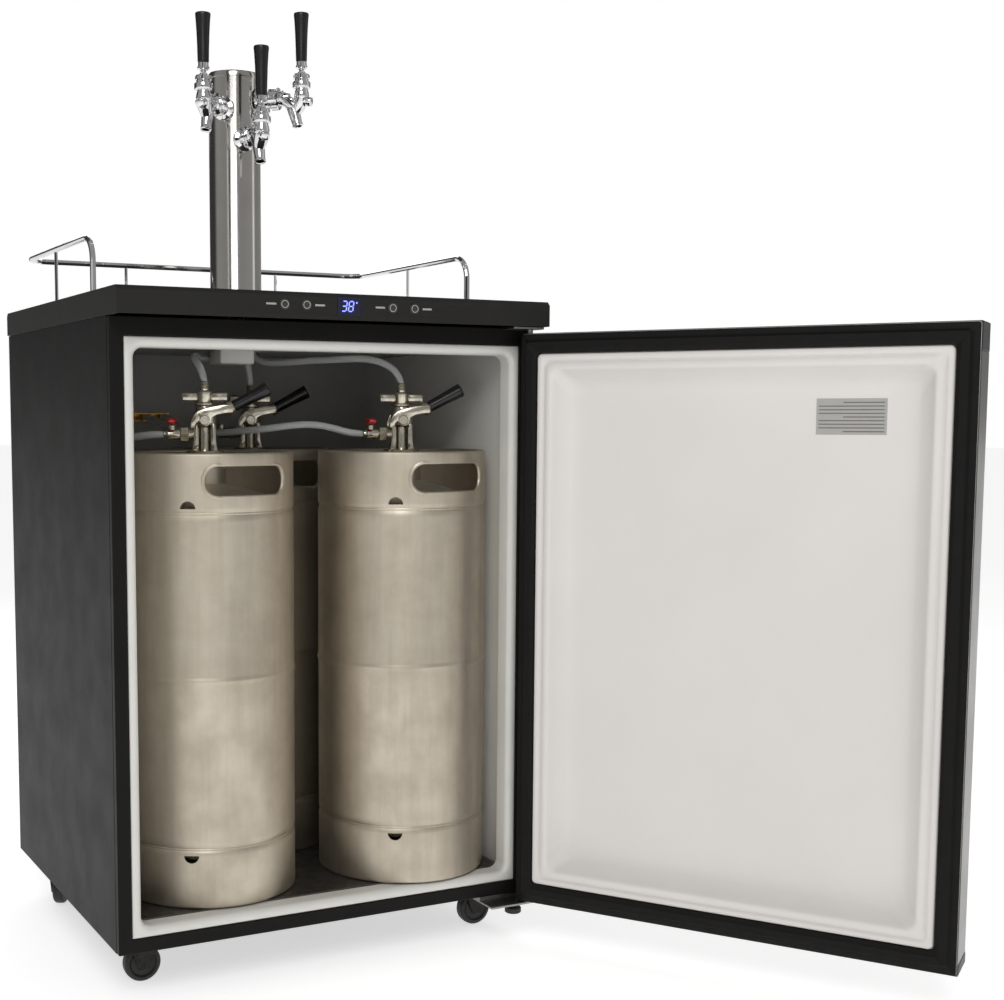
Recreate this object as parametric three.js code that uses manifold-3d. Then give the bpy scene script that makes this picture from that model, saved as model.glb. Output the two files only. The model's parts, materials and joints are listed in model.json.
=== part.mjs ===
// Three-tap kegerator: refrigerated keg cabinet on casters with its door open.
// Millimetres, +X to the right, +Y to the back, +Z up, floor at z = 0,
// x = 0 in the middle of the cabinet and y = 0 on the cabinet's front face.
import * as THREE from 'three';
import { mergeVertices } from 'three/addons/utils/BufferGeometryUtils.js';
import Module from 'manifold-3d';

// ---- driving dimensions -------------------------------------------------
const GAP = 0.3;
const SHEET = 1.2;

const CABINET = { halfWidth: 300, back: 535, bottom: 68, top: 867.6 };
const OPENING = { halfWidth: 282, bottom: 87, top: 843.6, frameDepth: 12 };
const LIP = { halfWidth: 269, bottom: 101, top: 830, depth: 28, corner: 22 };
const CAVITY = { halfWidth: 280, bottom: 89.3, top: 841.3, back: 486 };
const LINER_OUT = { halfWidth: 281.7, front: 0.6, back: 488, bottom: 87.3, top: 843.3 };
const HUMP = { left: 140, front: 300, top: 300, wall: 2, foam: 18 };
const FLOOR_PLATE = { top: 102, thick: 3, halfWidth: 276 };

const WORKTOP = { halfWidth: 303, front: -43, back: 531, bottom: 868, top: 901.3, nose: 5 };
const WORKTOP_SKIN = { side: 6, frontWall: 8, top: 8 };
const PANEL_Z = 885.2;
const WINDOW = { x: 1, halfWidth: 16.5, halfHeight: 11.5, depth: 1.5 };
const BUTTON = { radius: 7, length: 4.4, proud: 0.6, pocket: 5.2 };
const BUTTON_X = { set: -87.6, down: -57.8, light: 63.4, power: 95.3 };

const RAIL = { halfWidth: 277, front: 142, back: 495, z: 977, radius: 4, bend: 32 };
const RAIL_POST = { radius: 2.5, sideY: 325, backX: 125 };
const RAIL_SOCKET = { clearance: 0.5, depth: 6 };

const TOWER = { x: 0, y: 352, radius: 38.1, wall: 1.5, top: 1250.6, hole: 35 };
const TOWER_FLANGE = { radius: 52, height: 7 };
const TOWER_CAP = { radius: 39.4, height: 9 };

const SHANK = { radius: 10.5, tailRadius: 6, tailIn: 14, stubIn: 22, stubRadius: 5.5, stubDrop: 16 };
const ESCUTCHEON = { radius: 17, from: 38.6, to: 43 };
const LOCK_NUT = { radius: 14, from: 29, to: 34 };
const COUPLING_NUT = { radius: 16, from: 58, to: 72 };
const FAUCET = { radius: 9.5, front: 119, lever: 107, bonnetRadius: 12.5, bonnetTop: 32 };
const VENT_CAP = { radius: 6.5, length: 7 };
const SPOUT = { radius: 8, bore: 5.6, startR: 89, endR: 101, drop: 42 };
const LEVER = { ball: 8, pivot: 30, neck: 4, ferruleRadius: 9, ferruleFrom: 40, ferruleTo: 50 };
const HANDLE = { bottomRadius: 8, topRadius: 11, from: 50.3, to: 119.5 };
const FAUCETS = [
  { name: 'left', angle: -45, z: 1194 },
  { name: 'middle', angle: 0, z: 1150 },
  { name: 'right', angle: 45, z: 1211 },
];

const KEG = { radius: 119, height: 597, wall: 1.5, skirt: 4, standZ: 102.3, segments: 24 };
const KEG_SLOT = { width: 116, bottom: 541, top: 586, corner: 17 };
const KEG_DRAIN = { width: 22, height: 6, z: [69, 529] };
const KEG_SLOT_ANGLE = 9;
const KEG_DRAIN_ANGLE = -31;
const KEGS = [
  { name: 'left', x: -129, y: 138 },
  { name: 'right', x: 158.5, y: 116 },
  { name: 'rear', x: 15, y: 335 },
];

const COUPLER = {
  angle: -20, baseZ: 677.8, baseTop: 700, baseRadius: 26, bodyRadius: 15.5, bodyTop: 764,
  pivotZ: 741, pinRadius: 5, pinOut: 22,
};
const WING_NUT = { from: 764, to: 779, radius: 13, span: 31, thick: 6 };
const HOSE_TAIL = { radius: 6, top: 792 };
const GAS_INLET = { z: 722, radius: 7, out: 54, nutFrom: 22, nutTo: 32, nutRadius: 9.5 };
const GAS_VALVE = { at: 44, boss: 5, bossTop: 735, leverLength: 24, leverWidth: 9, leverThick: 4 };
const YOKE = {
  inner: 17.2, outer: 21.2, bar: [30, 38, 10, 20],
  outline: [[-10, -4], [-7, 7], [4, 14], [20, 17], [38, 20], [38, 10], [22, 7], [10, 2], [8, -8], [-4, -10]],
};
const GRIP = { from: [33, 15.5], to: [87, 44], radius: 7.5, endRadius: 10, crown: 5 };

const HOSE_RADIUS = 5.5;
const HOSE_SIDES = 8;
const MANIFOLD = { x: [-140, -110, -80], y: [474, 485.4], z: 745, half: 7, barb: 466 };

const HINGE = { x: 286.1, y: -20.3, pin: 4, bore: 4.5 };
const DOOR_OPEN_DEG = 123.8;
const DOOR = {
  left: -297, right: 294.3, outer: -68.5, inner: -10, bottom: 63.7, top: 859.5, skin: 1,
};
const DOOR_CAP = { bottom: 824, proud: 4 };
const DOOR_PAN = { halfWidth: 268.5, bottom: 93.4, top: 831 };
const GASKET = { edge: 3.6, face: -0.6, back: -9.7 };
const DOOR_LINER = { flange: 2, crest: -4.5, ridge: 24, dish: -27, pan: 4 };

const CASTER = {
  x: 254, frontY: 84, rearY: 455, trail: 9, wheelRadius: 25, wheelHalf: 9,
  axle: 4, stem: 6, stemTop: 79, crownRadius: 15, crown: [57, 67.6], leg: [10.6, 13.4],
};
const BRAKE = { hubX: 11, hubZ: 54, pin: 2.2, hubRadius: 4, tipX: 36, tipZ: 41, half: 7, thick: 3 };
const CASTERS = [
  { name: 'front_left', x: -CASTER.x, y: CASTER.frontY, angle: 0, brake: true },
  { name: 'front_right', x: CASTER.x, y: CASTER.frontY, angle: 0, brake: true },
  { name: 'rear_left', x: -CASTER.x, y: CASTER.rearY, angle: -120, brake: false },
  { name: 'rear_right', x: CASTER.x, y: CASTER.rearY, angle: -60, brake: false },
];

const COMPRESSOR = { x: 229, y: 428, radius: 56, bottom: 84, top: 222, plate: [60, 88], feet: [45, 72] };
const VENT_SLOT = { count: 6, left: 185, right: 275, bottom: 110, pitch: 24, height: 8 };
const CORD_GLAND = { x: 228, z: 262, radius: 9, endRadius: 7.5, proud: 9 };
const HINGE_PLATE = { topLeft: 252, bottomLeft: 226, right: 300, front: -34, thick: 3, back: 40 };
const FOOT = { x: 271, y: -15, radius: 11, bottom: 46, stud: 4 };

// ---- finishes -----------------------------------------------------------
const finish = (color, roughness, metalness) =>
  new THREE.MeshStandardMaterial({ color, roughness, metalness });
const BLACK_PAINT = finish(0x1b1b1c, 0.55, 0.1);
const BLACK_PLASTIC = finish(0x18181a, 0.45, 0);
const GREY_PLASTIC = finish(0x2a2b2d, 0.5, 0);
const WHITE_PLASTIC = finish(0xe4e5e3, 0.35, 0);
const FOAM = finish(0xd9c48a, 0.9, 0);
const FLOOR_STEEL = finish(0x55585a, 0.5, 0.8);
const CHROME = finish(0xd5d7da, 0.12, 1);
const KEG_STEEL = finish(0xb1aca3, 0.42, 1);
const DOOR_STEEL = finish(0xbfc0be, 0.32, 1);
const BLACK_RUBBER = finish(0x161616, 0.8, 0);
const BRASS = finish(0xb28a4a, 0.3, 1);
const CLEAR_HOSE = finish(0xcfd3d2, 0.15, 0);
const RED_PLASTIC = finish(0xb01f24, 0.4, 0);
const DISPLAY = finish(0x1c3fd6, 0.2, 0);
const ZINC = finish(0x9a9c9e, 0.4, 0.9);
const WHEEL = finish(0x1d1d1f, 0.6, 0);

// ---- solids -------------------------------------------------------------
const wasm = await Module();
wasm.setup();
const { Manifold, Mesh: ManifoldMesh } = wasm;
const Z_AXIS = new THREE.Vector3(0, 0, 1);
const WELD = 1e-4;

function toManifold(geometry) {
  const bare = geometry.clone();
  bare.deleteAttribute('normal');
  bare.deleteAttribute('uv');
  const welded = mergeVertices(bare, WELD);
  const triangles = welded.index.array;
  return new Manifold(new ManifoldMesh({
    numProp: 3,
    vertProperties: new Float32Array(welded.attributes.position.array),
    triVerts: new Uint32Array(triangles),
  }));
}

function toGeometry(manifold) {
  const mesh = manifold.getMesh();
  const geometry = new THREE.BufferGeometry();
  geometry.setAttribute('position', new THREE.BufferAttribute(Float32Array.from(mesh.vertProperties), 3));
  geometry.setIndex(new THREE.BufferAttribute(Uint32Array.from(mesh.triVerts), 1));
  const flat = geometry.toNonIndexed();
  flat.computeVertexNormals();
  return flat;
}

function box(x0, x1, y0, y1, z0, z1) {
  const geometry = new THREE.BoxGeometry(x1 - x0, y1 - y0, z1 - z0);
  return toManifold(geometry.translate((x0 + x1) / 2, (y0 + y1) / 2, (z0 + z1) / 2));
}

// Upright round bar or cone between two heights; six sides give a hexagon nut.
function round(x, y, z0, z1, radius, topRadius = radius, sides = 14) {
  const geometry = new THREE.CylinderGeometry(topRadius, radius, z1 - z0, sides);
  return toManifold(geometry.rotateX(Math.PI / 2).translate(x, y, (z0 + z1) / 2));
}

// Round bar or cone between any two points.
function bar(from, to, radius, endRadius = radius, sides = 12) {
  const a = new THREE.Vector3(...from);
  const b = new THREE.Vector3(...to);
  const span = b.clone().sub(a);
  const geometry = new THREE.CylinderGeometry(endRadius, radius, span.length(), sides);
  geometry.rotateX(Math.PI / 2);
  geometry.applyQuaternion(new THREE.Quaternion().setFromUnitVectors(Z_AXIS, span.normalize()));
  geometry.translate(...a.add(b).multiplyScalar(0.5).toArray());
  return toManifold(geometry);
}

function ball(x, y, z, radius, sides = 12) {
  return toManifold(new THREE.SphereGeometry(radius, sides, sides / 2).translate(x, y, z));
}

// Turned shape about the upright axis from [radius, z] pairs.
function turned(pairs, segments) {
  const points = pairs.map(([r, z]) => new THREE.Vector2(r, z));
  return toManifold(new THREE.LatheGeometry(points, segments).rotateX(Math.PI / 2));
}

// Rectangle in X and Z with round corners, extruded along +Y.
function roundedSlab(x0, x1, z0, z1, y0, y1, corner, steps = 4) {
  const shape = new THREE.Shape();
  shape.moveTo(x0 + corner, z0);
  shape.lineTo(x1 - corner, z0);
  shape.absarc(x1 - corner, z0 + corner, corner, -Math.PI / 2, 0, false);
  shape.absarc(x1 - corner, z1 - corner, corner, 0, Math.PI / 2, false);
  shape.absarc(x0 + corner, z1 - corner, corner, Math.PI / 2, Math.PI, false);
  shape.absarc(x0 + corner, z0 + corner, corner, Math.PI, Math.PI * 1.5, false);
  const options = { depth: y1 - y0, bevelEnabled: false, curveSegments: steps };
  return toManifold(new THREE.ExtrudeGeometry(shape, options).rotateX(Math.PI / 2).translate(0, y1, 0));
}

// Plate of the given thickness from [x, z] corners, its far face on y = 0.
function slabXZ(corners, thickness) {
  const outline = new THREE.Shape(corners.map(([x, z]) => new THREE.Vector2(x, z)));
  const plate = new THREE.ExtrudeGeometry(outline, { depth: thickness, bevelEnabled: false });
  return toManifold(plate.rotateX(Math.PI / 2));
}

// Round rod or hose swept along a smooth line through the points.
function swept(points, radius, sides, steps) {
  const path = new THREE.CatmullRomCurve3(points.map((p) => new THREE.Vector3(...p)), false, 'centripetal');
  const circle = new THREE.Shape();
  for (let i = 0; i < sides; i += 1) {
    const angle = (i / sides) * Math.PI * 2;
    const x = Math.cos(angle) * radius;
    const y = Math.sin(angle) * radius;
    if (i === 0) circle.moveTo(x, y);
    else circle.lineTo(x, y);
  }
  circle.closePath();
  const options = { steps, bevelEnabled: false, extrudePath: path, curveSegments: 1 };
  return toManifold(new THREE.ExtrudeGeometry(circle, options));
}

const joined = (...solids) => solids.reduce((sum, solid) => sum.add(solid));
const cut = (solid, ...tools) => tools.reduce((rest, tool) => rest.subtract(tool), solid);

// Turn about an upright line through (x, y).
const turnedAbout = (solid, x, y, degrees) =>
  solid.translate([-x, -y, 0]).rotate([0, 0, degrees]).translate([x, y, 0]);

const group = new THREE.Group();
group.name = 'kegerator';

function add(name, solid, material) {
  const mesh = new THREE.Mesh(toGeometry(solid), material);
  mesh.name = name;
  group.add(mesh);
}

// ---- cabinet ------------------------------------------------------------
const innerWidth = CABINET.halfWidth - SHEET - GAP;
const panelFront = OPENING.frameDepth + GAP;
const foamFront = OPENING.frameDepth + 2 * GAP;
const backInner = CABINET.back - SHEET - GAP;
const foamBottom = CABINET.bottom + SHEET + GAP;
const towerHole = (z0, z1) => round(TOWER.x, TOWER.y, z0, z1, TOWER.hole, TOWER.hole, 24);
const gasHole = (y0, y1) => bar([MANIFOLD.x[1], y0, MANIFOLD.z], [MANIFOLD.x[1], y1, MANIFOLD.z], 8);
const recess = {
  left: HUMP.left + HUMP.wall + HUMP.foam,
  front: HUMP.front + HUMP.wall + HUMP.foam,
  top: HUMP.top - HUMP.wall - HUMP.foam,
};

function buildCabinet() {
  for (const [name, side] of [['side_panel_left', -1], ['side_panel_right', 1]]) {
    const [x0, x1] = side < 0
      ? [-CABINET.halfWidth, -CABINET.halfWidth + SHEET]
      : [CABINET.halfWidth - SHEET, CABINET.halfWidth];
    add(name, box(x0, x1, panelFront, CABINET.back, CABINET.bottom, CABINET.top), BLACK_PAINT);
  }

  const frame = cut(
    box(-CABINET.halfWidth, CABINET.halfWidth, 0, OPENING.frameDepth, CABINET.bottom, CABINET.top),
    box(-OPENING.halfWidth, OPENING.halfWidth, -1, OPENING.frameDepth + 1, OPENING.bottom, OPENING.top),
  );
  add('front_frame', frame, BLACK_PAINT);

  const slots = [];
  for (let i = 0; i < VENT_SLOT.count; i += 1) {
    const z = VENT_SLOT.bottom + i * VENT_SLOT.pitch;
    slots.push(box(VENT_SLOT.left, VENT_SLOT.right, backInner, CABINET.back + 1, z, z + VENT_SLOT.height));
  }
  const backPanel = cut(
    box(-innerWidth, innerWidth, CABINET.back - SHEET, CABINET.back, foamBottom, CABINET.top),
    gasHole(CABINET.back - 5, CABINET.back + 5),
    ...slots,
  );
  const gland = CORD_GLAND;
  const cordGland = bar([gland.x, CABINET.back - SHEET / 2, gland.z],
    [gland.x, CABINET.back + gland.proud, gland.z], gland.radius, gland.endRadius);
  add('back_panel', joined(backPanel, cordGland), BLACK_PAINT);

  const stemHoles = CASTERS.map((c) => round(c.x, c.y, 60, 90, CASTER.stem + 0.4));
  const basePan = box(-innerWidth, innerWidth, foamFront, backInner, CABINET.bottom, CABINET.bottom + SHEET);
  add('base_pan', cut(basePan, ...stemHoles), BLACK_PAINT);
}

function buildInsulation() {
  const cavity = box(-LINER_OUT.halfWidth - GAP, LINER_OUT.halfWidth + GAP, 0, LINER_OUT.back + GAP,
    LINER_OUT.bottom - GAP, LINER_OUT.top + GAP);
  const inset = HUMP.wall + GAP;
  const humpFoam = box(HUMP.left + inset, CABINET.halfWidth, HUMP.front + inset, CABINET.back,
    OPENING.bottom - 5, HUMP.top - inset);
  const compressorBay = box(recess.left, CABINET.halfWidth, recess.front, CABINET.back, 60, recess.top);
  const stemSockets = CASTERS.map((c) => round(c.x, c.y, 60, CASTER.stemTop + 2, CASTER.stem + 2));
  const foam = cut(
    box(-innerWidth, innerWidth, foamFront, backInner, foamBottom, CABINET.top),
    cavity.subtract(humpFoam),
    compressorBay,
    towerHole(OPENING.top - 5, CABINET.top + 5),
    gasHole(LINER_OUT.back - 5, CABINET.back + 5),
    ...stemSockets,
  );
  add('insulation_foam', foam, FOAM);
}

function buildLiner() {
  const shell = box(-LINER_OUT.halfWidth, LINER_OUT.halfWidth, LINER_OUT.front, LINER_OUT.back,
    LINER_OUT.bottom, LINER_OUT.top);
  const mouth = roundedSlab(-LIP.halfWidth, LIP.halfWidth, LIP.bottom, LIP.top,
    -1, LIP.depth + 1, LIP.corner);
  const cavity = box(-CAVITY.halfWidth, CAVITY.halfWidth, LIP.depth, CAVITY.back,
    CAVITY.bottom, CAVITY.top);
  const hump = box(HUMP.left, CABINET.halfWidth, HUMP.front, CABINET.back, 0, HUMP.top);
  const humpInside = box(HUMP.left + HUMP.wall, CABINET.halfWidth, HUMP.front + HUMP.wall,
    CABINET.back, 0, HUMP.top - HUMP.wall);
  const liner = cut(
    shell,
    mouth,
    cavity.subtract(hump),
    humpInside,
    towerHole(CAVITY.top - 5, CABINET.top),
    gasHole(CAVITY.back - 5, CABINET.back),
  );
  add('inner_liner', liner, WHITE_PLASTIC);

  const plateBottom = FLOOR_PLATE.top - FLOOR_PLATE.thick;
  const front = LIP.depth + 0.8;
  const back = CAVITY.back - GAP;
  const feet = [-FLOOR_PLATE.halfWidth, FLOOR_PLATE.halfWidth - 4].map((x) =>
    box(x, x + 4, front, HUMP.front - 10, CAVITY.bottom + GAP, plateBottom + 1));
  const plate = cut(
    joined(box(-FLOOR_PLATE.halfWidth, FLOOR_PLATE.halfWidth, front, back, plateBottom, FLOOR_PLATE.top),
      ...feet),
    box(HUMP.left - GAP, CABINET.halfWidth, HUMP.front - GAP, CABINET.back, 0, HUMP.top),
  );
  add('floor_plate', plate, FLOOR_STEEL);
}

function buildCompressor() {
  const { x, y, radius, bottom, top } = COMPRESSOR;
  const [halfX, halfY] = COMPRESSOR.plate;
  const shell = turned([
    [0, bottom], [radius * 0.7, bottom + 4], [radius, bottom + 26],
    [radius, top - 34], [radius * 0.78, top - 8], [radius * 0.3, top], [0, top],
  ], 18).translate([x, y, 0]);
  const [footX, footY] = COMPRESSOR.feet;
  const plate = box(x - halfX, x + halfX, y - halfY, y + halfY, bottom - 4, bottom + 1);
  const feet = [[-1, -1], [1, -1], [-1, 1], [1, 1]].map(([sx, sy]) =>
    round(x + sx * footX, y + sy * footY, foamBottom + GAP, bottom - 3, 7));
  const suction = bar([x - 10, y - 20, top - 20], [x - 10, y - 20, top + 20], 5);
  add('compressor', joined(shell, plate, suction, ...feet), GREY_PLASTIC);
}

// ---- worktop, control panel, rail ---------------------------------------
const railPosts = [
  [-RAIL.halfWidth, RAIL_POST.sideY, RAIL_POST.radius],
  [RAIL.halfWidth, RAIL_POST.sideY, RAIL_POST.radius],
  [-RAIL_POST.backX, RAIL.back, RAIL_POST.radius],
  [RAIL_POST.backX, RAIL.back, RAIL_POST.radius],
];
const railFeet = [
  [-RAIL.halfWidth, RAIL.front, RAIL.radius],
  [RAIL.halfWidth, RAIL.front, RAIL.radius],
  ...railPosts,
];

function buildWorktop() {
  const { halfWidth, front, back, bottom, top, nose } = WORKTOP;
  const profile = new THREE.Shape();
  profile.moveTo(front, bottom);
  profile.lineTo(back, bottom);
  profile.lineTo(back, top - nose);
  profile.lineTo(back - nose, top);
  profile.lineTo(front + nose, top);
  profile.lineTo(front, top - nose);
  profile.closePath();
  const extrusion = new THREE.ExtrudeGeometry(profile, { depth: 2 * halfWidth, bevelEnabled: false });
  extrusion.rotateY(-Math.PI / 2).rotateX(Math.PI / 2);
  extrusion.rotateZ(Math.PI);
  extrusion.computeBoundingBox();
  const centre = extrusion.boundingBox.getCenter(new THREE.Vector3());
  extrusion.translate(-centre.x, (front + back) / 2 - centre.y, (bottom + top) / 2 - centre.z);
  const hollow = box(-halfWidth + WORKTOP_SKIN.side, halfWidth - WORKTOP_SKIN.side,
    front + WORKTOP_SKIN.frontWall, back - WORKTOP_SKIN.side, bottom - 1, top - WORKTOP_SKIN.top);
  const pocketBack = front + BUTTON.pocket;
  const pockets = Object.values(BUTTON_X).map((x) =>
    bar([x, front - 1, PANEL_Z], [x, pocketBack, PANEL_Z], BUTTON.radius + GAP, BUTTON.radius + GAP, 20));
  const windowPocket = box(WINDOW.x - WINDOW.halfWidth - GAP, WINDOW.x + WINDOW.halfWidth + GAP,
    front - 1, front + WINDOW.depth + GAP,
    PANEL_Z - WINDOW.halfHeight - GAP, PANEL_Z + WINDOW.halfHeight + GAP);
  const sockets = railFeet.map(([x, y, radius]) =>
    round(x, y, top - RAIL_SOCKET.depth, top + 1, radius + RAIL_SOCKET.clearance,
      radius + RAIL_SOCKET.clearance, 10));
  const worktop = cut(toManifold(extrusion), hollow, windowPocket, ...pockets, ...sockets,
    towerHole(bottom - 5, top + 5));
  add('worktop', worktop, BLACK_PLASTIC);

  add('control_window', box(
    WINDOW.x - WINDOW.halfWidth, WINDOW.x + WINDOW.halfWidth, front - 0.2, front + WINDOW.depth,
    PANEL_Z - WINDOW.halfHeight, PANEL_Z + WINDOW.halfHeight), DISPLAY);
  for (const [name, x] of Object.entries(BUTTON_X)) {
    const from = front - BUTTON.proud;
    const button = bar([x, from, PANEL_Z], [x, from + BUTTON.length, PANEL_Z],
      BUTTON.radius, BUTTON.radius, 20);
    add(`button_${name}`, button, GREY_PLASTIC);
  }
}

function arcPoints(centre, from, to, steps) {
  const points = [];
  for (let i = 0; i <= steps; i += 1) {
    const t = (i / steps) * (Math.PI / 2);
    points.push(new THREE.Vector3()
      .addScaledVector(from, Math.cos(t))
      .addScaledVector(to, Math.sin(t))
      .add(centre));
  }
  return points;
}

function buildRail() {
  const { halfWidth, front, back, z, bend } = RAIL;
  const foot = WORKTOP.top - RAIL_SOCKET.depth + GAP;
  const v = (x, y, zz) => new THREE.Vector3(x, y, zz);
  const half = (side) => [
    v(side * halfWidth, front, foot),
    ...arcPoints(v(side * halfWidth, front + bend, z - bend), v(0, -bend, 0), v(0, 0, bend), 4),
    ...arcPoints(v(side * (halfWidth - bend), back - bend, z), v(side * bend, 0, 0), v(0, bend, 0), 4),
  ];
  const points = [...half(-1), ...half(1).reverse()];
  const rod = swept(points.map((p) => p.toArray()), RAIL.radius, 8, 44);
  const posts = railPosts.map(([x, y, radius]) => round(x, y, foot, z, radius, radius, 8));
  add('guard_rail', joined(rod, ...posts), CHROME);
}

// ---- tower and faucets --------------------------------------------------
function buildTower() {
  const { x, y, radius, wall, top } = TOWER;
  const foot = WORKTOP.top + GAP;
  const holes = FAUCETS.map((f) => bar([x, y, f.z], [x, y - 60, f.z], SHANK.radius + 0.4));
  const aimed = holes.map((hole, i) => turnedAbout(hole, x, y, FAUCETS[i].angle));
  const column = cut(
    joined(
      round(x, y, foot, top - 2, radius, radius, 32),
      round(x, y, foot, foot + TOWER_FLANGE.height, TOWER_FLANGE.radius, TOWER_FLANGE.radius - 3, 32),
      round(x, y, top - TOWER_CAP.height, top, TOWER_CAP.radius, TOWER_CAP.radius - 1.5, 32),
    ),
    round(x, y, foot - 1, top - 4, radius - wall, radius - wall, 32),
    ...aimed,
  );
  add('tower_column', column, CHROME);
}

// Faucet parts are built pointing to -Y from the tower's axis, then turned.
function buildFaucet({ name, angle, z }) {
  const { x, y } = TOWER;
  const out = (r, dz = 0) => [x, y - r, z + dz];
  const leverY = y - FAUCET.lever;
  const shank = joined(
    bar(out(30), out(60), SHANK.radius, SHANK.radius, 12),
    bar(out(SHANK.tailIn), out(32), SHANK.tailRadius, SHANK.tailRadius, 12),
    bar(out(SHANK.stubIn), out(SHANK.stubIn, -SHANK.stubDrop), SHANK.stubRadius, SHANK.stubRadius, 10),
    bar(out(LOCK_NUT.from), out(LOCK_NUT.to), LOCK_NUT.radius, LOCK_NUT.radius, 6),
    bar(out(ESCUTCHEON.from), out(ESCUTCHEON.to), ESCUTCHEON.radius, ESCUTCHEON.radius - 2, 16),
    bar(out(COUPLING_NUT.from), out(COUPLING_NUT.to), COUPLING_NUT.radius, COUPLING_NUT.radius - 1, 12),
  );
  const body = joined(
    bar(out(70), out(FAUCET.front), FAUCET.radius, FAUCET.radius, 12),
    bar(out(FAUCET.front - 1), out(FAUCET.front + VENT_CAP.length), VENT_CAP.radius, VENT_CAP.radius - 1, 12),
    round(x, leverY, z, z + FAUCET.bonnetTop, FAUCET.bonnetRadius, FAUCET.bonnetRadius, 14),
    bar(out(SPOUT.startR, -2), out(SPOUT.endR, -SPOUT.drop), SPOUT.radius, SPOUT.radius - 0.6, 14),
  );
  const socket = round(x, leverY, z + LEVER.pivot - LEVER.ball - 1, z + FAUCET.bonnetTop + 1,
    LEVER.ball + 0.5, LEVER.ball + 0.5, 14);
  const lean = (SPOUT.endR - SPOUT.startR) / SPOUT.drop;
  const mouthDepth = 22;
  const mouth = bar(out(SPOUT.endR - lean * mouthDepth, -SPOUT.drop + mouthDepth),
    out(SPOUT.endR + lean * 2, -SPOUT.drop - 2), SPOUT.bore, SPOUT.bore, 12);
  const faucet = cut(joined(shank, body), socket, mouth);
  add(`faucet_${name}`, turnedAbout(faucet, x, y, angle), CHROME);

  const pivotZ = z + LEVER.pivot;
  const lever = joined(
    ball(x, leverY, pivotZ, LEVER.ball),
    round(x, leverY, pivotZ, z + LEVER.ferruleTo - 1, LEVER.neck, LEVER.neck, 12),
    round(x, leverY, z + LEVER.ferruleFrom, z + LEVER.ferruleTo, LEVER.ferruleRadius,
      LEVER.ferruleRadius - 1, 12),
  );
  add(`tap_lever_${name}`, turnedAbout(lever, x, y, angle), CHROME);

  const crown = 4;
  const handle = joined(
    round(x, leverY, z + HANDLE.from, z + HANDLE.to - crown, HANDLE.bottomRadius, HANDLE.topRadius, 12),
    round(x, leverY, z + HANDLE.to - crown - 0.5, z + HANDLE.to, HANDLE.topRadius,
      HANDLE.topRadius - 4, 12),
  );
  add(`tap_handle_${name}`, turnedAbout(handle, x, y, angle), BLACK_PLASTIC);
}

// ---- kegs and couplers --------------------------------------------------
function kegBlank() {
  const { radius: r, height: h, wall: w, skirt } = KEG;
  return turned([
    [0, 41], [96, 58], [r - skirt, 72], [r - skirt, 1], [r - skirt + 1, 0], [r - 1, 0], [r, 1], [r, 75],
    [r - 1.6, 79], [r, 83], [r, 299], [r + 1.5, 302], [r, 305], [r, 515], [r - 1.6, 519], [r, 523],
    [r, h - 1], [r - 1, h], [r - skirt + 1, h], [r - skirt, h - 1], [r - skirt, 524], [99, 531],
    [27, 551], [27, 575], [20, 575], [20, 546], [98, 526], [r - w, 508], [r - w, 86], [96, 62], [0, 44],
  ], KEG.segments);
}

function buildKegs() {
  const slot = roundedSlab(-KEG_SLOT.width / 2, KEG_SLOT.width / 2, KEG_SLOT.bottom, KEG_SLOT.top,
    -KEG.radius - 10, -KEG.radius + 62, KEG_SLOT.corner, 2);
  const half = KEG_DRAIN.height / 2;
  const drains = KEG_DRAIN.z.map((z) => roundedSlab(-KEG_DRAIN.width / 2, KEG_DRAIN.width / 2,
    z - half, z + half, -KEG.radius - 10, -KEG.radius + 12, half - 0.2, 2));
  const tools = [
    ...[0, 180].map((turn) => slot.rotate([0, 0, KEG_SLOT_ANGLE + turn])),
    ...drains.map((drain) => drain.rotate([0, 0, KEG_DRAIN_ANGLE])),
  ];
  const keg = cut(kegBlank(), ...tools);
  for (const { name, x, y } of KEGS) {
    add(`keg_${name}`, keg.translate([x, y, KEG.standZ]), KEG_STEEL);
  }
}

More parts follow.
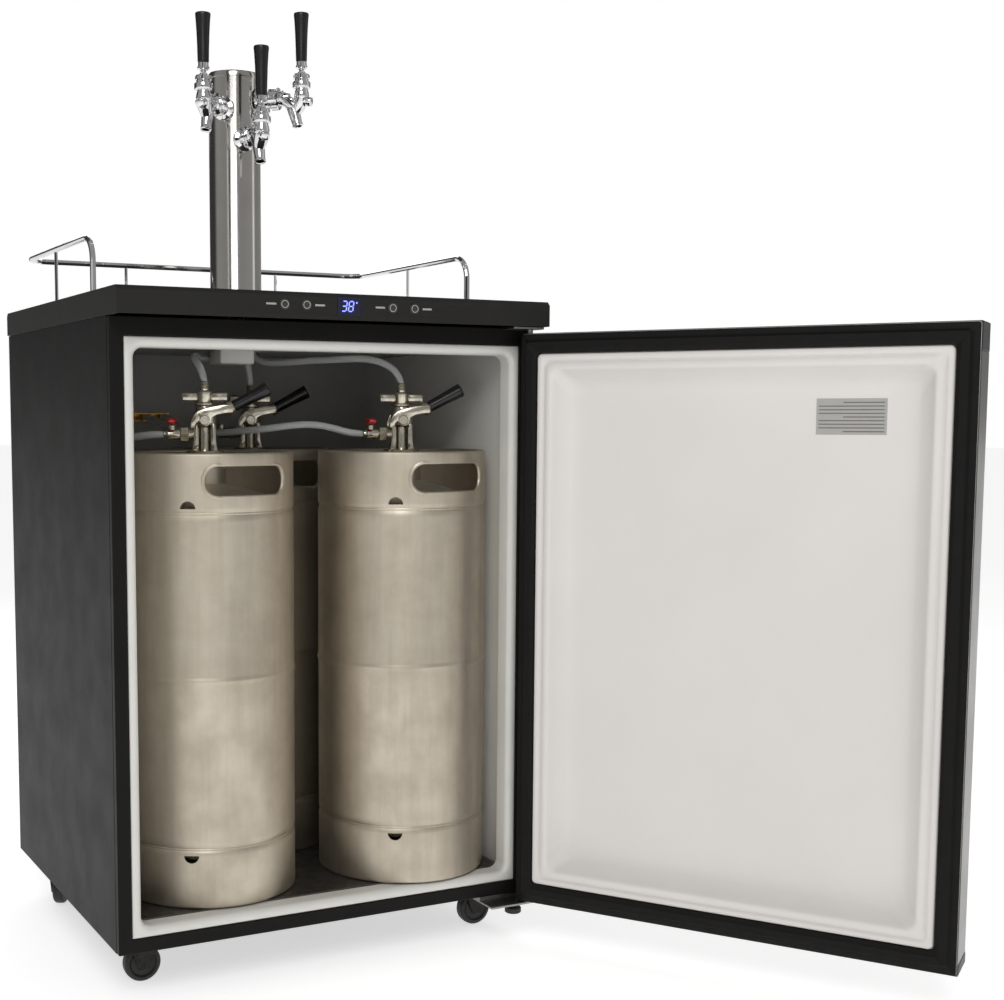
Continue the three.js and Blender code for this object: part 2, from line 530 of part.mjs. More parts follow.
// A coupler is built at the origin with its grip towards +X, then placed.
function couplerParts() {
  const c = COUPLER;
  const wing = box(-WING_NUT.span, WING_NUT.span, -WING_NUT.thick / 2, WING_NUT.thick / 2,
    WING_NUT.from + 3, WING_NUT.to - 2);
  const body = joined(
    round(0, 0, c.baseZ, c.baseTop, c.baseRadius, c.baseRadius - 2, 16),
    round(0, 0, c.baseTop - 1, c.bodyTop, c.bodyRadius, c.bodyRadius, 14),
    bar([0, -c.pinOut, c.pivotZ], [0, c.pinOut, c.pivotZ], c.pinRadius, c.pinRadius, 12),
    round(0, 0, WING_NUT.from - 1, WING_NUT.to, WING_NUT.radius, WING_NUT.radius - 2, 12),
    wing,
    round(0, 0, WING_NUT.to - 1, HOSE_TAIL.top, HOSE_TAIL.radius, HOSE_TAIL.radius - 0.8, 10),
    bar([0, 0, GAS_INLET.z], [-GAS_INLET.out, 0, GAS_INLET.z], GAS_INLET.radius, GAS_INLET.radius, 12),
    bar([-GAS_INLET.nutFrom, 0, GAS_INLET.z], [-GAS_INLET.nutTo, 0, GAS_INLET.z],
      GAS_INLET.nutRadius, GAS_INLET.nutRadius, 6),
    round(-GAS_VALVE.at, 0, GAS_INLET.z, GAS_VALVE.bossTop, GAS_VALVE.boss, GAS_VALVE.boss, 12),
  );

  const { inner, outer } = YOKE;
  const [barFrom, barTo, barBottom, barTop] = YOKE.bar;
  const plate = (side) =>
    slabXZ(YOKE.outline, outer - inner).translate([0, side > 0 ? outer : -inner, c.pivotZ]);
  const gripFrom = new THREE.Vector3(GRIP.from[0], 0, c.pivotZ + GRIP.from[1]);
  const gripTo = new THREE.Vector3(GRIP.to[0], 0, c.pivotZ + GRIP.to[1]);
  const crownStart = gripTo.clone().lerp(gripFrom, GRIP.crown / gripTo.distanceTo(gripFrom));
  const lever = cut(
    joined(
      plate(-1),
      plate(1),
      box(barFrom, barTo, -outer, outer, c.pivotZ + barBottom, c.pivotZ + barTop),
      bar(gripFrom.toArray(), crownStart.toArray(), GRIP.radius, GRIP.endRadius, 12),
      bar(crownStart.toArray(), gripTo.toArray(), GRIP.endRadius, GRIP.endRadius - 4, 12),
    ),
    bar([0, -outer - 1, c.pivotZ], [0, outer + 1, c.pivotZ], c.pinRadius + GAP, c.pinRadius + GAP, 12),
  );

  const z = GAS_VALVE.bossTop + GAP;
  const valve = joined(
    round(-GAS_VALVE.at, 0, z, z + 6, 6, 5.5, 12),
    box(-GAS_VALVE.at - GAS_VALVE.leverWidth / 2, -GAS_VALVE.at + GAS_VALVE.leverWidth / 2,
      -GAS_VALVE.leverLength, 2, z + 1, z + 1 + GAS_VALVE.leverThick),
  );
  return { body, lever, valve };
}

function buildCouplers() {
  const { body, lever, valve } = couplerParts();
  for (const { name, x, y } of KEGS) {
    const place = (solid) => solid.rotate([0, 0, COUPLER.angle]).translate([x, y, 0]);
    add(`coupler_${name}`, place(body), CHROME);
    add(`coupler_lever_${name}`, place(lever), BLACK_PLASTIC);
    if (name !== 'rear') add(`gas_valve_lever_${name}`, place(valve), RED_PLASTIC);
  }
}

// ---- hoses --------------------------------------------------------------
function stubPoint(faucet, below) {
  const angle = (faucet.angle * Math.PI) / 180;
  return [
    TOWER.x + Math.sin(angle) * SHANK.stubIn,
    TOWER.y - Math.cos(angle) * SHANK.stubIn,
    faucet.z - SHANK.stubDrop - below,
  ];
}

function buildHoses() {
  const faucet = Object.fromEntries(FAUCETS.map((f) => [f.name, f]));
  const keg = Object.fromEntries(KEGS.map((k) => [k.name, k]));
  const start = HOSE_TAIL.top + GAP;
  const beer = [
    { keg: 'left', tap: 'left', bend: [[-132, 168, 824], [-84, 262, 829], [-24, 325, 829], [-16, 335, 846]] },
    { keg: 'right', tap: 'right', bend: [[138, 146, 825], [80, 240, 828], [22, 325, 829], [16, 335, 846]] },
    { keg: 'rear', tap: 'middle', bend: [[12, 334, 820], [2, 331, 845]] },
  ];
  for (const run of beer) {
    const end = stubPoint(faucet[run.tap], GAP);
    const { x, y } = keg[run.keg];
    const inTower = [[end[0], end[1], 875], [end[0], end[1], 980]];
    const points = [[x, y, start], [x, y, start + 10], ...run.bend, ...inTower, end];
    add(`beer_hose_${run.keg}`, swept(points, HOSE_RADIUS, HOSE_SIDES, 30), CLEAR_HOSE);
  }

  const inlet = (name) => {
    const angle = (COUPLER.angle * Math.PI) / 180;
    const r = GAS_INLET.out + GAP;
    const { x, y } = keg[name];
    return [
      [x - Math.cos(angle) * r, y - Math.sin(angle) * r, GAS_INLET.z],
      [x - Math.cos(angle) * (r + 14), y - Math.sin(angle) * (r + 14), GAS_INLET.z],
    ];
  };
  const port = (i) => [
    [MANIFOLD.x[i], MANIFOLD.barb - 18, MANIFOLD.z],
    [MANIFOLD.x[i], MANIFOLD.barb - GAP, MANIFOLD.z],
  ];
  const gas = [
    { name: 'left', port: 0, bend: [[-228, 196, 716], [-252, 270, 718], [-226, 366, 734], [-160, 424, 745]] },
    { name: 'right', port: 1, bend: [[48, 170, 735], [-28, 214, 727], [-78, 286, 722], [-104, 380, 734]] },
    { name: 'rear', port: 2, bend: [[-66, 388, 726], [-78, 424, 740]] },
  ];
  for (const run of gas) {
    const points = [...inlet(run.name), ...run.bend, ...port(run.port)];
    add(`gas_hose_${run.name}`, swept(points, HOSE_RADIUS, HOSE_SIDES, 24), CLEAR_HOSE);
  }

  const { x, y, z, half, barb } = MANIFOLD;
  const manifold = joined(
    box(x[0] - 14, x[2] + 14, y[0], y[1], z - half, z + half),
    ...x.map((px) => bar([px, barb, z], [px, y[0] + 1, z], 4.5, 5, 10)),
    bar([x[1], y[1] - 1, z], [x[1], CABINET.back + 16, z], 5.5, 5.5, 12),
  );
  add('gas_manifold', manifold, BRASS);
}

// ---- door and hinges ----------------------------------------------------
const opened = (solid) => turnedAbout(solid, HINGE.x, HINGE.y, DOOR_OPEN_DEG);
const hingeBore = (z0, z1) => round(HINGE.x, HINGE.y, z0, z1, HINGE.bore, HINGE.bore, 16);

function buildDoor() {
  const { left, right, outer, inner, bottom, top, skin } = DOOR;
  const { halfWidth: panX, bottom: panBottom, top: panTop } = DOOR_PAN;
  const { flange, crest, ridge, dish, pan } = DOOR_LINER;
  const skinTop = DOOR_CAP.bottom - GAP;
  const doorSkin = cut(
    box(left, right, outer, inner - 0.2, bottom, skinTop),
    box(left + skin, right - skin, outer + skin, inner + 5, bottom + skin, skinTop + 5),
    hingeBore(bottom - 5, bottom + 20),
  );
  add('door_skin', opened(doorSkin), DOOR_STEEL);

  const cap = cut(
    box(left, right, outer - DOOR_CAP.proud, inner - DOOR_LINER.flange - GAP, DOOR_CAP.bottom, top),
    box(-panX - GAP, panX + GAP, dish - pan - GAP, 0, DOOR_CAP.bottom - 1, panTop + GAP),
    hingeBore(top - 18, top + 5),
  );
  add('door_top_cap', opened(cap), BLACK_PLASTIC);

  const edge = skin + GAP;
  const slab = (inset, y0, y1, corner) =>
    roundedSlab(-panX + inset, panX - inset, panBottom + inset, panTop - inset, y0, y1, corner);
  const sheet = box(left + edge, right - edge, inner - flange, inner, bottom + edge, top - 1);
  const behindRidge = cut(
    slab(pan, dish - pan - 1, crest - pan, 16),
    slab(ridge - pan, dish - pan - 2, 0, 30),
  );
  const liner = cut(
    joined(sheet, slab(0, dish - pan, crest, 20)),
    slab(ridge, dish, 0, 26),
    behindRidge,
  );
  add('door_liner', opened(liner), WHITE_PLASTIC);

  const rim = GASKET.edge;
  const gasket = cut(
    roundedSlab(left + rim, right - rim, bottom + rim, top - rim, GASKET.back, GASKET.face, 3, 2),
    slab(-GAP, GASKET.back - 1, GASKET.face + 1, 20),
  );
  add('door_gasket', opened(gasket), BLACK_RUBBER);
}

function buildHinges() {
  const { topLeft, bottomLeft, right, front, thick, back } = HINGE_PLATE;
  const topPlateZ = WORKTOP.bottom - GAP;
  const topPlate = box(topLeft, right, front, -0.4, topPlateZ - thick, topPlateZ);
  const topPin = round(HINGE.x, HINGE.y, DOOR.top - 12, WORKTOP.bottom - 2, HINGE.pin, HINGE.pin, 14);
  add('hinge_top', joined(topPlate, topPin), ZINC);

  const plateTop = DOOR.bottom - 0.8;
  const plate = box(bottomLeft, right, front + 2, back, plateTop - thick, plateTop);
  const riser = box(bottomLeft, right, 2, back, plateTop - 1, CABINET.bottom - GAP);
  const pin = round(HINGE.x, HINGE.y, plateTop - 1, DOOR.bottom + 12, HINGE.pin, HINGE.pin, 14);
  const foot = joined(
    round(FOOT.x, FOOT.y, FOOT.bottom + 5, plateTop - 1, FOOT.stud, FOOT.stud, 10),
    round(FOOT.x, FOOT.y, FOOT.bottom, FOOT.bottom + 7, FOOT.radius, FOOT.radius - 1, 16),
  );
  add('hinge_bottom', joined(plate, riser, pin, foot), ZINC);
}

// ---- casters ------------------------------------------------------------
// Built at the stem's axis with the wheel trailing towards +X, then placed.
function casterParts(brake) {
  const c = CASTER;
  const wheelZ = c.wheelRadius;
  const [legIn, legOut] = c.leg;
  const legOutline = [
    [-12, c.crown[0] + 2], [c.trail - 8, wheelZ - 7], [c.trail + 8, wheelZ - 7],
    [c.trail + 18, c.crown[0] - 8], [13, c.crown[0] + 2],
  ];
  const leg = (side) => slabXZ(legOutline, legOut - legIn).translate([0, side > 0 ? legOut : -legIn, 0]);
  const pieces = [
    round(0, 0, c.crown[0], c.crown[1], c.crownRadius, c.crownRadius, 18),
    round(0, 0, c.crown[1] - 1, c.stemTop, c.stem, c.stem, 12),
    leg(-1),
    leg(1),
    bar([c.trail, -legOut, wheelZ], [c.trail, legOut, wheelZ], c.axle, c.axle, 12),
  ];
  const hub = [c.trail + BRAKE.hubX, BRAKE.hubZ];
  if (brake) {
    pieces.push(bar([hub[0], -legOut, hub[1]], [hub[0], legOut, hub[1]], BRAKE.pin, BRAKE.pin, 10));
  }
  const fork = joined(...pieces);

  const wheel = cut(
    joined(
      bar([c.trail, -c.wheelHalf, wheelZ], [c.trail, c.wheelHalf, wheelZ], c.wheelRadius - 1.5,
        c.wheelRadius - 1.5, 24),
      bar([c.trail, -c.wheelHalf + 2, wheelZ], [c.trail, c.wheelHalf - 2, wheelZ], c.wheelRadius,
        c.wheelRadius, 24),
    ),
    bar([c.trail, -c.wheelHalf - 1, wheelZ], [c.trail, c.wheelHalf + 1, wheelZ], c.axle + GAP,
      c.axle + GAP, 12),
  );

  const tip = [c.trail + BRAKE.tipX, BRAKE.tipZ];
  const along = new THREE.Vector2(tip[0] - hub[0], tip[1] - hub[1]);
  const tab = box(0, along.length(), -BRAKE.half, BRAKE.half, -BRAKE.thick / 2, BRAKE.thick / 2)
    .rotate([0, (-Math.atan2(along.y, along.x) * 180) / Math.PI, 0])
    .translate([hub[0], 0, hub[1]]);
  const lever = cut(
    joined(
      bar([hub[0], -BRAKE.half, hub[1]], [hub[0], BRAKE.half, hub[1]], BRAKE.hubRadius,
        BRAKE.hubRadius, 12),
      tab,
    ),
    bar([hub[0], -BRAKE.half - 1, hub[1]], [hub[0], BRAKE.half + 1, hub[1]], BRAKE.pin + GAP,
      BRAKE.pin + GAP, 10),
  );
  return { fork, wheel, lever };
}

function buildCasters() {
  for (const { name, x, y, angle, brake } of CASTERS) {
    const { fork, wheel, lever } = casterParts(brake);
    const place = (solid) => solid.rotate([0, 0, angle]).translate([x, y, 0]);
    add(`caster_fork_${name}`, place(fork), ZINC);
    add(`caster_wheel_${name}`, place(wheel), WHEEL);
    if (brake) add(`brake_lever_${name}`, place(lever), BLACK_PLASTIC);
  }
}

buildCabinet();
buildInsulation();
buildLiner();
buildCompressor();
buildWorktop();
buildRail();
buildTower();
FAUCETS.forEach(buildFaucet);
buildKegs();
buildCouplers();
buildHoses();
buildDoor();
buildHinges();
buildCasters();

export default group;
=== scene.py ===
"""Visual model of a three-tap kegerator with its door open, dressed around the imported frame."""
from __future__ import annotations

import json
import logging
import math
from dataclasses import dataclass, field
from enum import Enum

import bmesh
import bpy
from mathutils import Matrix, Vector

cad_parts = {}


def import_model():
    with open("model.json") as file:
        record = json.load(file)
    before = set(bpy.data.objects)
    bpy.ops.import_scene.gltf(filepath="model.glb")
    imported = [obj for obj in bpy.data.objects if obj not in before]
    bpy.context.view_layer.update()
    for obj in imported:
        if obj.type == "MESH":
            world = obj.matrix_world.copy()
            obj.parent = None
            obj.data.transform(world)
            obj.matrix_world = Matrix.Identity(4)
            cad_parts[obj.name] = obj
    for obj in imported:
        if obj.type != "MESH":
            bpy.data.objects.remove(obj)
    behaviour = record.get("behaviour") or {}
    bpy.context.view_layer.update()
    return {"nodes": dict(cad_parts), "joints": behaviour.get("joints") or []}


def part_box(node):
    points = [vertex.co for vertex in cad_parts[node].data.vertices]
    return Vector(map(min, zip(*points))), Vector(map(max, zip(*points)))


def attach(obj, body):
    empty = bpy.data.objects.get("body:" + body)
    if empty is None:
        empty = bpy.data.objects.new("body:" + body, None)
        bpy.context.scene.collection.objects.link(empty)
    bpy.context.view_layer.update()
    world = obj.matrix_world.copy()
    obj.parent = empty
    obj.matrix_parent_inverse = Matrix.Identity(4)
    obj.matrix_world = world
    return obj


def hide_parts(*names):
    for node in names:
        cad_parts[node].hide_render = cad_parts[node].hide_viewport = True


LOG = logging.getLogger("kegerator")
MM = 0.001
Z_AXIS = Vector((0.0, 0.0, 1.0))
Profile = list[tuple[float, float]]


# ---- finishes ---------------------------------------------------------------
def linear(hex_color: str) -> tuple[float, float, float, float]:
    """Turns an sRGB hex colour into the linear colour that a shader takes.

    Args:
        hex_color: six hex digits.

    Returns:
        Red, green, blue and an alpha of one.
    """
    channels = [int(hex_color[i:i + 2], 16) / 255 for i in (0, 2, 4)]
    steps = [c / 12.92 if c <= 0.04045 else ((c + 0.055) / 1.055) ** 2.4 for c in channels]
    return (steps[0], steps[1], steps[2], 1.0)


def add_node(
    tree: bpy.types.NodeTree,
    kind: str,
    settings: dict[str, object] | None = None,
    values: dict[str, object] | None = None,
    links: dict[str, bpy.types.NodeSocket] | None = None,
) -> bpy.types.Node:
    """Adds one node with its settings, socket values and incoming links.

    Args:
        tree: the node tree to add to.
        kind: the node's type name.
        settings: properties of the node itself.
        values: default values by input name.
        links: output sockets by the name of the input they feed.

    Returns:
        The new node.
    """
    node = tree.nodes.new(kind)
    for name, value in (settings or {}).items():
        setattr(node, name, value)
    for name, value in (values or {}).items():
        node.inputs[name].default_value = value
    for name, socket in (links or {}).items():
        tree.links.new(socket, node.inputs[name])
    return node


def blended(
    tree: bpy.types.NodeTree, amount: bpy.types.NodeSocket,
    first: bpy.types.NodeSocket | tuple[float, ...], second: bpy.types.NodeSocket | tuple[float, ...],
) -> bpy.types.NodeSocket:
    """Blends two colours, each a socket or a fixed colour, and returns the blend's socket."""
    mix = add_node(tree, "ShaderNodeMix", {"data_type": "RGBA"}, links={"Factor": amount})
    for index, color in ((6, first), (7, second)):
        if isinstance(color, tuple):
            mix.inputs[index].default_value = color
        else:
            tree.links.new(color, mix.inputs[index])
    return mix.outputs[2]


class Grain(Enum):
    """Which way a surface was worked, as the stretch of its pattern along X, Y and Z."""

    EVEN = (1.0, 1.0, 1.0)
    AROUND = (0.02, 0.02, 1.0)
    UPRIGHT = (1.0, 1.0, 0.012)


@dataclass(frozen=True)
class Finish:
    """One real material and how its surface was made, as a shader.

    Args:
        name: the material's common name and how it was made.
        slot: the record's slot that it answers to; not used.
        color: its sRGB colour.
        shade: the darker or duller colour of its uneven patches.
        roughness: its mean roughness.
        metallic: 1 for bare or plated metal.
        grain: the way the surface was worked.
        grain_mm: the size of the finest marks.
        relief_mm: how deep those marks are.
        patch_mm: the size of the uneven patches.
        patchiness: how strongly the patches show, from 0 to 1.
        streaks: how strongly dried runs and handling marks show, from 0 to 1.
        gloss_spread: how much the roughness varies over the patches.
        coat: the strength of a clear coat.
        clear: how much light passes through.
        glow: the strength of its own light.
        painted_shade_reach_mm: how far around a point a hollow paints shade into its colour; 0 for none.
        painted_shade_kept: the share of its colour that the deepest hollow keeps under the painted shade.
        specular: how strongly a bare, unplated surface mirrors; 0.5 is plain plastic.
    """

    name: str
    slot: str
    color: str
    shade: str
    roughness: float
    metallic: float = 0.0
    grain: Grain = Grain.EVEN
    grain_mm: float = 1.0
    relief_mm: float = 0.0
    patch_mm: float = 60.0
    patchiness: float = 0.3
    streaks: float = 0.0
    gloss_spread: float = 0.06
    coat: float = 0.0
    clear: float = 0.0
    glow: float = 0.0
    painted_shade_reach_mm: float = 0.0
    painted_shade_kept: float = 0.2
    specular: float = 0.5

    def material(self) -> bpy.types.Material:
        """Returns the shader for this finish, made on first use."""
        known = bpy.data.materials.get(self.name)
        if known is not None:
            return known
        made = bpy.data.materials.new(self.name)
        made.use_nodes = True
        made.diffuse_color = linear(self.color)
        tree = made.node_tree
        tree.nodes.clear()
        shader = add_node(tree, "ShaderNodeBsdfPrincipled", values={
            "Metallic": self.metallic,
            "Specular IOR Level": self.specular,
            "Coat Weight": self.coat,
            "Coat Roughness": 0.08,
            "Transmission Weight": self.clear,
            "Emission Color": linear(self.color),
            "Emission Strength": self.glow,
        })
        place = add_node(tree, "ShaderNodeTexCoord").outputs["Object"]
        patches = self._patches(tree, place)
        self._color(tree, shader, patches, place)
        self._gloss(tree, shader, patches)
        if self.relief_mm > 0:
            self._relief(tree, shader, place)
        output = add_node(tree, "ShaderNodeOutputMaterial")
        tree.links.new(shader.outputs["BSDF"], output.inputs["Surface"])
        return made

    def _patches(self, tree: bpy.types.NodeTree, place: bpy.types.NodeSocket) -> bpy.types.NodeSocket:
        """Returns the broad uneven pattern, from 0 to 1."""
        noise = add_node(
            tree, "ShaderNodeTexNoise", {"noise_dimensions": "3D"},
            {"Scale": 1 / (self.patch_mm * MM), "Detail": 4.0, "Roughness": 0.55}, {"Vector": place})
        spread = add_node(
            tree, "ShaderNodeMapRange", {"clamp": True},
            {"From Min": 0.32, "From Max": 0.68}, {"Value": noise.outputs["Fac"]})
        return spread.outputs["Result"]

    def _worked(self, tree: bpy.types.NodeTree, place: bpy.types.NodeSocket) -> bpy.types.NodeSocket:
        """Returns the fine marks of the surface, stretched the way it was worked."""
        turned = add_node(
            tree, "ShaderNodeMapping", {"vector_type": "POINT"},
            {"Scale": self.grain.value}, {"Vector": place})
        noise = add_node(
            tree, "ShaderNodeTexNoise", {"noise_dimensions": "3D"},
            {"Scale": 1 / (self.grain_mm * MM), "Detail": 2.0}, {"Vector": turned.outputs["Vector"]})
        return noise.outputs["Fac"]

    def _color(
        self, tree: bpy.types.NodeTree, shader: bpy.types.Node,
        patches: bpy.types.NodeSocket, place: bpy.types.NodeSocket,
    ) -> None:
        """Blends the two colours over the patches, and over upright runs where it has them."""
        amount = add_node(
            tree, "ShaderNodeMath", {"operation": "MULTIPLY"}, links={0: patches})
        amount.inputs[1].default_value = self.patchiness
        result = blended(tree, amount.outputs["Value"], linear(self.color), linear(self.shade))
        if self.streaks > 0:
            run_width_mm = 14.0
            down = add_node(
                tree, "ShaderNodeMapping", {"vector_type": "POINT"},
                {"Scale": (1.0, 1.0, 0.07)}, {"Vector": place})
            runs = add_node(
                tree, "ShaderNodeTexNoise", {"noise_dimensions": "3D"},
                {"Scale": 1 / (run_width_mm * MM), "Detail": 5.0, "Roughness": 0.6},
                {"Vector": down.outputs["Vector"]})
            shown = add_node(
                tree, "ShaderNodeMapRange", {"clamp": True},
                {"From Min": 0.42, "From Max": 0.72, "To Max": self.streaks}, {"Value": runs.outputs["Fac"]})
            result = blended(tree, shown.outputs["Result"], result, linear(self.shade))
        # Painted shade: the colour is darkened by ambient occlusion in the piece's hollows.
        if self.painted_shade_reach_mm > 0:
            result = self._painted_hollow_shade(tree, result)
        tree.links.new(result, shader.inputs["Base Color"])

    def _painted_hollow_shade(self, tree: bpy.types.NodeTree, color: bpy.types.NodeSocket) -> bpy.types.NodeSocket:
        """Paints shade into a colour inside the piece's own hollows, darkening it by ambient occlusion."""
        occlusion = add_node(
            tree, "ShaderNodeAmbientOcclusion", {"samples": 8, "only_local": True},
            {"Distance": self.painted_shade_reach_mm * MM})
        kept = add_node(
            tree, "ShaderNodeMapRange", {"clamp": True},
            {"From Min": 0.12, "From Max": 0.85, "To Min": self.painted_shade_kept}, {"Value": occlusion.outputs["AO"]})
        return blended(tree, kept.outputs["Result"], linear("000000"), color)

    def _gloss(
        self, tree: bpy.types.NodeTree, shader: bpy.types.Node, patches: bpy.types.NodeSocket,
    ) -> None:
        """Varies the roughness a little over the patches."""
        spread = add_node(
            tree, "ShaderNodeMapRange", {"clamp": True},
            {"To Min": self.roughness - self.gloss_spread / 2,
             "To Max": self.roughness + self.gloss_spread / 2}, {"Value": patches})
        tree.links.new(spread.outputs["Result"], shader.inputs["Roughness"])

    def _relief(
        self, tree: bpy.types.NodeTree, shader: bpy.types.Node, place: bpy.types.NodeSocket,
    ) -> None:
        """Raises the fine marks of the surface."""
        bump = add_node(
            tree, "ShaderNodeBump", values={"Strength": 1.0, "Distance": self.relief_mm * MM},
            links={"Height": self._worked(tree, place)})
        tree.links.new(bump.outputs["Normal"], shader.inputs["Normal"])


# Powder coat on sheet steel: a near-black satin skin with a faint orange-peel dimple.
POWDER_COAT = Finish("powder_coated_steel", "cabinet_black_paint", "171615", "110f0e", 0.5,
                     grain_mm=1.6, relief_mm=0.02, patchiness=0.5, specular=0.12)
# Moulded ABS with a fine spark-eroded grain: dull, slightly browner black than the paint.
GRAINED_ABS = Finish("moulded_grained_abs", "worktop_plastic", "1d1c1a", "161514", 0.52,
                     grain_mm=1.1, relief_mm=0.03, patchiness=0.5, specular=0.3)
CAP_ABS = Finish("moulded_abs_cap", "door_cap_plastic", "1b1a19", "131212", 0.46,
                 grain_mm=1.1, relief_mm=0.02, patchiness=0.5)
# Vacuum-formed polystyrene: milk white, softly glossy, with a slow waviness from forming; its colour is
# darkened by painted shade in the hollows of the door's dish.
FORMED_STYRENE = Finish("vacuum_formed_polystyrene", "door_liner_plastic", "e0dcd8", "d8d4d0", 0.5,
                        grain_mm=45.0, relief_mm=0.1, patch_mm=180.0, patchiness=0.5, painted_shade_reach_mm=60.0,
                        painted_shade_kept=0.35)
# The cabinet liner's colour is darkened by painted shade from ambient occlusion reaching 450 mm, so the deep
# back of the interior is painted dark.
LINER_STYRENE = Finish("vacuum_formed_liner", "liner_plastic", "dcdbd6", "cfcec8", 0.36,
                       grain_mm=30.0, relief_mm=0.08, patch_mm=120.0, patchiness=0.5, painted_shade_reach_mm=450.0,
                       painted_shade_kept=0.12)
# Satin stainless, finely brushed around the keg: long soft highlights broken by dried runs.
KEG_STEEL = Finish("brushed_stainless_keg", "keg_steel", "cbc2b2", "a09584", 0.5, 1.0,
                   Grain.AROUND, 0.9, 0.012, 46.0, 0.35, 0.28, 0.12)
# Polished stainless tube drawn lengthwise: mirror bands, hazed by upright polishing lines.
TOWER_STEEL = Finish("drawn_polished_stainless", "tower_steel", "c9c6c0", "b3afa8", 0.14, 1.0,
                     Grain.UPRIGHT, 0.8, 0.006, 40.0, 0.4, 0.0, 0.06)
# Bright chrome over brass: near mirror, with the odd fingerprint as a duller patch.
CHROME = Finish("bright_chrome_plate", "faucet_chrome", "e3e3e4", "d0cfce", 0.07, 1.0,
                patch_mm=9.0, gloss_spread=0.05)
RAIL_CHROME = Finish("bright_chrome_rod", "rail_chrome", "dfe0e1", "c9c9c9", 0.09, 1.0,
                     patch_mm=22.0, gloss_spread=0.05)
# Plated die casting, worn warm where hands hold it.
CAST_PLATE = Finish("nickel_plated_casting", "coupler_chrome", "d5d0c2", "a99f86", 0.2, 1.0,
                    grain_mm=1.4, relief_mm=0.03, patch_mm=8.0, patchiness=0.6, gloss_spread=0.16)
# Glossy phenolic knob: deep black with a hard edge to its highlight.
PHENOLIC = Finish("glossy_phenolic", "tap_handle_plastic", "0d0d0e", "080809", 0.3,
                  patch_mm=12.0)
GRIP_NYLON = Finish("moulded_nylon_grip", "coupler_grip_plastic", "0f0f0f", "0b0b0b", 0.24,
                    grain_mm=0.9, relief_mm=0.02, patch_mm=12.0)
# Clear PVC tube: mostly lets light through, with a milky bloom.
CLEAR_PVC = Finish("clear_pvc_beer_tube", "beer_hose", "e6e9e8", "d2d6d4", 0.14, patch_mm=25.0, clear=0.5)
GAS_PVC = Finish("clear_pvc_gas_tube", "gas_hose", "e2e5e4", "c9cdcb", 0.18, patch_mm=25.0, clear=0.42)
RED_VINYL = Finish("dipped_red_vinyl", "gas_valve_red", "c0181c", "8d1013", 0.3, patch_mm=6.0, coat=0.3)
BUTTON_ABS = Finish("moulded_button_abs", "button_plastic", "33322f", "272624", 0.4,
                    grain_mm=0.6, relief_mm=0.015, patch_mm=8.0)
# Tinted acrylic over the display: dark and wet looking, blue from the lamp behind.
TINTED_ACRYLIC = Finish("tinted_acrylic", "display_window", "0d1236", "080b20", 0.1, patch_mm=10.0, coat=0.6)
SEGMENT_LIGHT = Finish("lit_display_segment", "display_window", "7f8cff", "6f7cff", 0.3, glow=1.6)
PRINTED_INK = Finish("screen_printed_ink", "button_plastic", "a9a59c", "8f8b83", 0.55, patch_mm=4.0)
# Rolled steel plate: dull grey with the bloom of a zinc coat.
ROLLED_STEEL = Finish("galvanised_steel_plate", "floor_steel", "6b6a66", "4b4a47", 0.42, 0.85,
                      patch_mm=14.0, patchiness=0.7, gloss_spread=0.2, grain_mm=3.0, relief_mm=0.02)
ZINC_PLATE = Finish("zinc_plated_pressing", "hinge_zinc", "9b9a97", "7b7a76", 0.34, 1.0,
                    patch_mm=7.0, patchiness=0.6, gloss_spread=0.12)
CASTER_ZINC = Finish("zinc_plated_fork", "caster_zinc", "343331", "201f1e", 0.32, 1.0,
                     patch_mm=7.0, patchiness=0.6, gloss_spread=0.12)
# Brushed stainless door sheet: fine upright lines and a calm grey sheen.
DOOR_STAINLESS = Finish("brushed_stainless_sheet", "door_steel", "72706d", "63615e", 0.3, 1.0,
                        Grain.UPRIGHT, 0.7, 0.008, 150.0, 0.5, 0.0, 0.08)
# Extruded PVC gasket: soft matt black.
GASKET_RUBBER = Finish("extruded_gasket_rubber", "gasket_rubber", "161514", "100f0f", 0.62,
                       grain_mm=1.5, relief_mm=0.03, patch_mm=20.0, specular=0.15)
TREAD_RUBBER = Finish("moulded_tread_rubber", "caster_wheel", "1a1918", "121111", 0.55,
                      grain_mm=0.9, relief_mm=0.03, patch_mm=6.0)
PEDAL_PLASTIC = Finish("moulded_pedal_plastic", "brake_plastic", "19191a", "111111", 0.42,
                       grain_mm=0.8, relief_mm=0.02, patch_mm=6.0)
TURNED_BRASS = Finish("turned_brass", "manifold_brass", "b58c48", "8f6a33", 0.26, 1.0,
                      patch_mm=7.0, patchiness=0.6, gloss_spread=0.12)
POURED_FOAM = Finish("poured_polyurethane_foam", "foam", "d7c68f", "c4b074", 0.9,
                     grain_mm=2.0, relief_mm=0.5, patch_mm=30.0)
BLACK_ENAMEL = Finish("stoved_black_enamel", "compressor_paint", "1a1a1b", "101011", 0.24, 0.0,
                      grain_mm=3.0, relief_mm=0.03, patch_mm=20.0, coat=0.4)
# Metallised label stock: flat silver grey.
LABEL_FOIL = Finish("metallised_label_stock", "door_liner_plastic", "b2b1ae", "a3a29f", 0.35, 0.3,
                    patch_mm=12.0)
LABEL_INK = Finish("label_ink", "door_liner_plastic", "77746f", "696661", 0.6, patch_mm=4.0)


